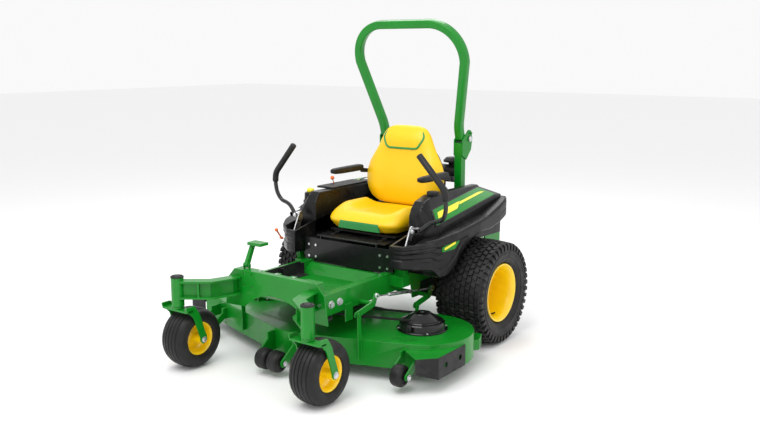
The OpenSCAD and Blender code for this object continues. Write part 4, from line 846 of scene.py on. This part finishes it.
def buildCaps():
    # the cap's wall is fluted: its radius follows a cosine of the angle
    profile = np.array([(0, 884), (33, 884), (35.5, 887), (35.5, 898), (33, 903.5), (20, 905), (0, 905)], float)
    middle = np.array(tankShape["capAt"])
    pts, faces = turned(profile, (*middle, 0), "z", 144)
    away = pts[:, :2] - middle
    reach = np.linalg.norm(away, axis=1)
    angle = np.arctan2(away[:, 1], away[:, 0])
    flute = 1 - 0.035 * (np.cos(24 * angle) > 0) * (reach > 34)
    pts[:, :2] = middle + away * flute[:, None]
    addPiece("fuelCap", [(pts, faces)], finish["trimPlastic"], "fuel_cap", ("fuel_cap",), 30)
    low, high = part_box("pto_knob")
    x, y = (low[0] + high[0]) * 500 - middleX, (low[1] + high[1]) * 500 - axleY
    top, width = high[2] * 1000, (high[0] - low[0]) * 500
    # share of the half width, and depth below the top
    head = [(0, 26), (0.8, 26), (0.97, 21), (0.97, 12), (0.82, 5), (0.5, 1), (0, 0)]
    parts = [cylinder((x, y, 0), "z", 6.5, low[2] * 1000, top - 24, 24),
             turned([(width * share, top - drop) for share, drop in head], (x, y, 0), "z", 64)]
    addPiece("ptoKnob", parts, finish["stripeYellow"], "pto_knob", ("pto_knob",), 40)


buildCaps()
print("consoles built")

# mm; (x, y, z) of the left one of each pair
deckShape = dict(coverAt=(575, -600), boltCircle=131, scalpAt=(692, -985, 90), rollerAt=(42, -1185, 85), wheelRadius=57,
                 wheelBore=9.5)


def coverProfile():
    # the dome's outside, then its inside back down to the foot
    outer = [(139, 215.2), (139, 221), (136, 224), (128, 225), (126, 240), (124, 256), (119, 262), (108, 265),
             (104, 270), (98, 271), (92, 276), (60, 296), (52, 301), (48, 305), (40, 307), (14, 307), (10, 302), (0, 302)]
    inner = [(0, 298), (46, 298), (56, 291), (96, 268), (116, 258), (120, 240), (122, 221), (122, 215.2)]
    return outer + inner


def wheelProfile(width, radius, bore, corner=14):
    # half of a section with quarter-circle shoulders, mirrored about the middle of the width
    h = width / 2
    q = np.linspace(0, np.pi / 2, 8)
    right = np.stack([radius - corner + corner * np.cos(q), h - corner + corner * np.sin(q)], 1)
    half = [(radius, 0)] + right.tolist() + [(radius * 0.62, h), (radius * 0.58, h - 6), (radius * 0.34, h - 6),
                                             (radius * 0.32, h), (bore, h)]
    return [(r, -a) for r, a in half[::-1]] + half[1:]


def buildDeck():
    # covers, rollers and wheels are profiles turned about their own axes; four bolts stand round each cover
    s = deckShape
    covers, bolts = [], []
    coverX, coverY = s["coverAt"]
    for x in (-coverX, coverX):
        covers.append(turned(coverProfile(), (x, coverY, 0), "z", 96, True))
        for k in range(4):
            q = math.pi / 4 + k * math.pi / 2
            at = (x + s["boltCircle"] * math.cos(q), coverY + s["boltCircle"] * math.sin(q), 222.5)
            bolts += boltHead(at, "z", 6, 5)
    addPiece("pulleyCovers", covers, finish["glossBlack"], "deck", ("pulley_covers",), 30)
    addPiece("coverBolts", bolts, finish["zinc"], "deck", (), 30)
    for side, sign in sides:
        at = (sign * s["scalpAt"][0], *s["scalpAt"][1:])
        wheel = turned(wheelProfile(68, s["wheelRadius"], s["wheelBore"], 20), at, "x", 72, True)
        addPiece("scalpWheel_" + side, [wheel], finish["tyreRubber"], "scalp_wheel_" + side,
                 ("scalp_wheel_" + side,), 35)
    roller = wheelProfile(76, s["wheelRadius"], s["wheelBore"], 22)
    pair = [turned(roller, (end * s["rollerAt"][0], *s["rollerAt"][1:]), "x", 72, True) for end in (-1, 1)]
    addPiece("frontRollers", pair, finish["tyreRubber"], "front_rollers", ("front_rollers",), 35)
    nuts = [part for (x, y, z), out in ((s["scalpAt"], 57), (s["rollerAt"], 59)) for end in (1, -1)
            for part in boltHead((end * (x + out), y, z), "x", 11, end * 8)]
    addPiece("rollerNuts", nuts, finish["zinc"], "deck", (), 30)


buildDeck()
print("deck built")

# mm and degrees
hoopShape = dict(tube=50.0, corner=9.0, postX=284.0, postY=262.0, hingeZ=1150.0, side=387.0, bend=490.0, top=1890.0,
                 straight=76.0, cornerRadius=215.0, lean=16.0, pinAt=(40, 317, 1158), pinRadius=8.8, pinReach=82)


def squareTube(path, width, corner, up):
    # a rounded square carried along the path, its sides kept parallel to `up`
    p = np.asarray(path, float)
    d = np.gradient(p, axis=0)
    d /= np.linalg.norm(d, axis=1)[:, None]
    side = np.cross(d, up)
    side /= np.linalg.norm(side, axis=1)[:, None]
    h = width / 2
    q = np.linspace(0, np.pi / 2, 5)
    quarter = np.stack([h - corner + corner * np.cos(q), h - corner + corner * np.sin(q)], 1)
    turns = [np.array([[c, -s], [s, c]]) for c, s in ((1, 0), (0, 1), (-1, 0), (0, -1))]
    ring = np.concatenate([quarter @ t.T for t in turns])
    return loft(p[:, None] + ring[None, :, :1] * side[:, None] + ring[None, :, 1:] * np.asarray(up, float))


def buildHoop():
    # foot, knee and hip joined by quadratic bends, then a quarter circle to the top bar; mirrored and leant forward
    s = hoopShape
    half, lean, radius, side = s["tube"] / 2, math.radians(s["lean"]), s["cornerRadius"], s["side"]
    base = np.array([0, s["postY"], s["hingeZ"] + 12])
    along = np.array([0, -math.sin(lean), math.cos(lean)])
    across = np.array([0, math.cos(lean), math.sin(lean)])
    height = (s["top"] - base[2] - half * math.sin(lean)) / math.cos(lean) - half
    q = np.linspace(0, np.pi / 2, 28)
    arc = np.stack([side - radius + radius * np.cos(q), height - radius + radius * np.sin(q), 0 * q], 1)
    foot, knee, hip = (s["postX"], 3, 0), (s["postX"], s["straight"], 0), (side, s["bend"], 0)
    middle = (np.array(knee) + hip) / 2
    lower, upper = filleted([foot, knee, middle], 40, 8)[:-1], filleted([middle, hip, arc[0]], 90, 12)[:-1]
    right = np.concatenate([lower, upper, arc])
    whole = np.concatenate([right, (right * np.array([-1, 1, 1]))[::-1]])
    path = base + whole[:, :1] * np.array([1.0, 0, 0]) + whole[:, 1:2] * along
    parts = [squareTube(path, s["tube"] - 0.1, s["corner"], across)]
    lug = [(252, 1170), (296, 1138), (324, 1138), (337, 1152), (337, 1166), (309, 1186), (262, 1190)]
    pins = []
    for sign in (-1, 1):
        a, b = sorted((sign * (s["postX"] - half + 1), sign * (s["postX"] + half - 1)))
        parts.append(prism(roundCorners(lug, 6), a, b, "x"))
        at = (sign * (s["postX"] + s["pinAt"][0]), *s["pinAt"][1:])
        pins.append(cylinder(at, "x", s["pinRadius"], -sign * s["pinReach"], sign * 2, 28))
        pins += boltHead(at, "x", 15, sign * 7, 1.2)
    body = frame["nodes"]["rops_hoop"]["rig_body"]
    addPiece("hoopTube", parts, finish["greenPaint"], body, ("rops_hoop",), 40)
    addPiece("hoopPins", pins, finish["zinc"], body, (), 30)


buildHoop()
print("hoop built")

# nodes that keep their CAD shape, each with the width in mm of its rounded edges
softNodes = {
    "greenPaint": dict(main_frame=1.6, front_crossmember=1.6, caster_arms=1.4, floor_pan=1.0, engine_guard=2.0,
                       rops_posts=2.5, deck_shell=1.5, lift_pedal=1.4, front_rockshaft=1.2,
                       rear_rockshaft=1.2),
    "blackPaint": dict(seat_box=1.5, seat_platform=1.2, engine=3.0, hydro_drives=4.0, battery=3.0),
    "trimPlastic": dict(footwell_liner=1.2, air_cleaner=2.5, control_panel=2.0, discharge_chute=2.0, deck_bumper=2.5),
    "zinc": dict(lever_base_left=1.0, lever_base_right=1.0, lift_links=1.0),
    "castAlloy": dict(spindle_housings=1.5),
    "bladeSteel": dict(blade_left=0.6, blade_middle=0.6, blade_right=0.6),
    "beltRubber": dict(deck_belt=0.8),
    "exhaustSteel": dict(muffler=3.0),
    "orange": dict(throttle_lever=0.6, brake_lever=0.6),
}
plainFinish = dict(tread_rubber="tyreRubber", signal_orange="orange", signal_yellow="stripeYellow")


def finishNodes():
    for name, widths in softNodes.items():
        for node, width in widths.items():
            softened(node, finish[name], width)
    for node, obj in frame["nodes"].items():  # every CAD node has its finish, hidden or not
        obj.data.materials.clear()
        first, *rest = slotOf[node].split("_")  # a slot's name is its finish's, but for those in plainFinish
        obj.data.materials.append(finish[plainFinish.get(slotOf[node], first + "".join(rest).title())])


finishNodes()
print("CAD parts finished")
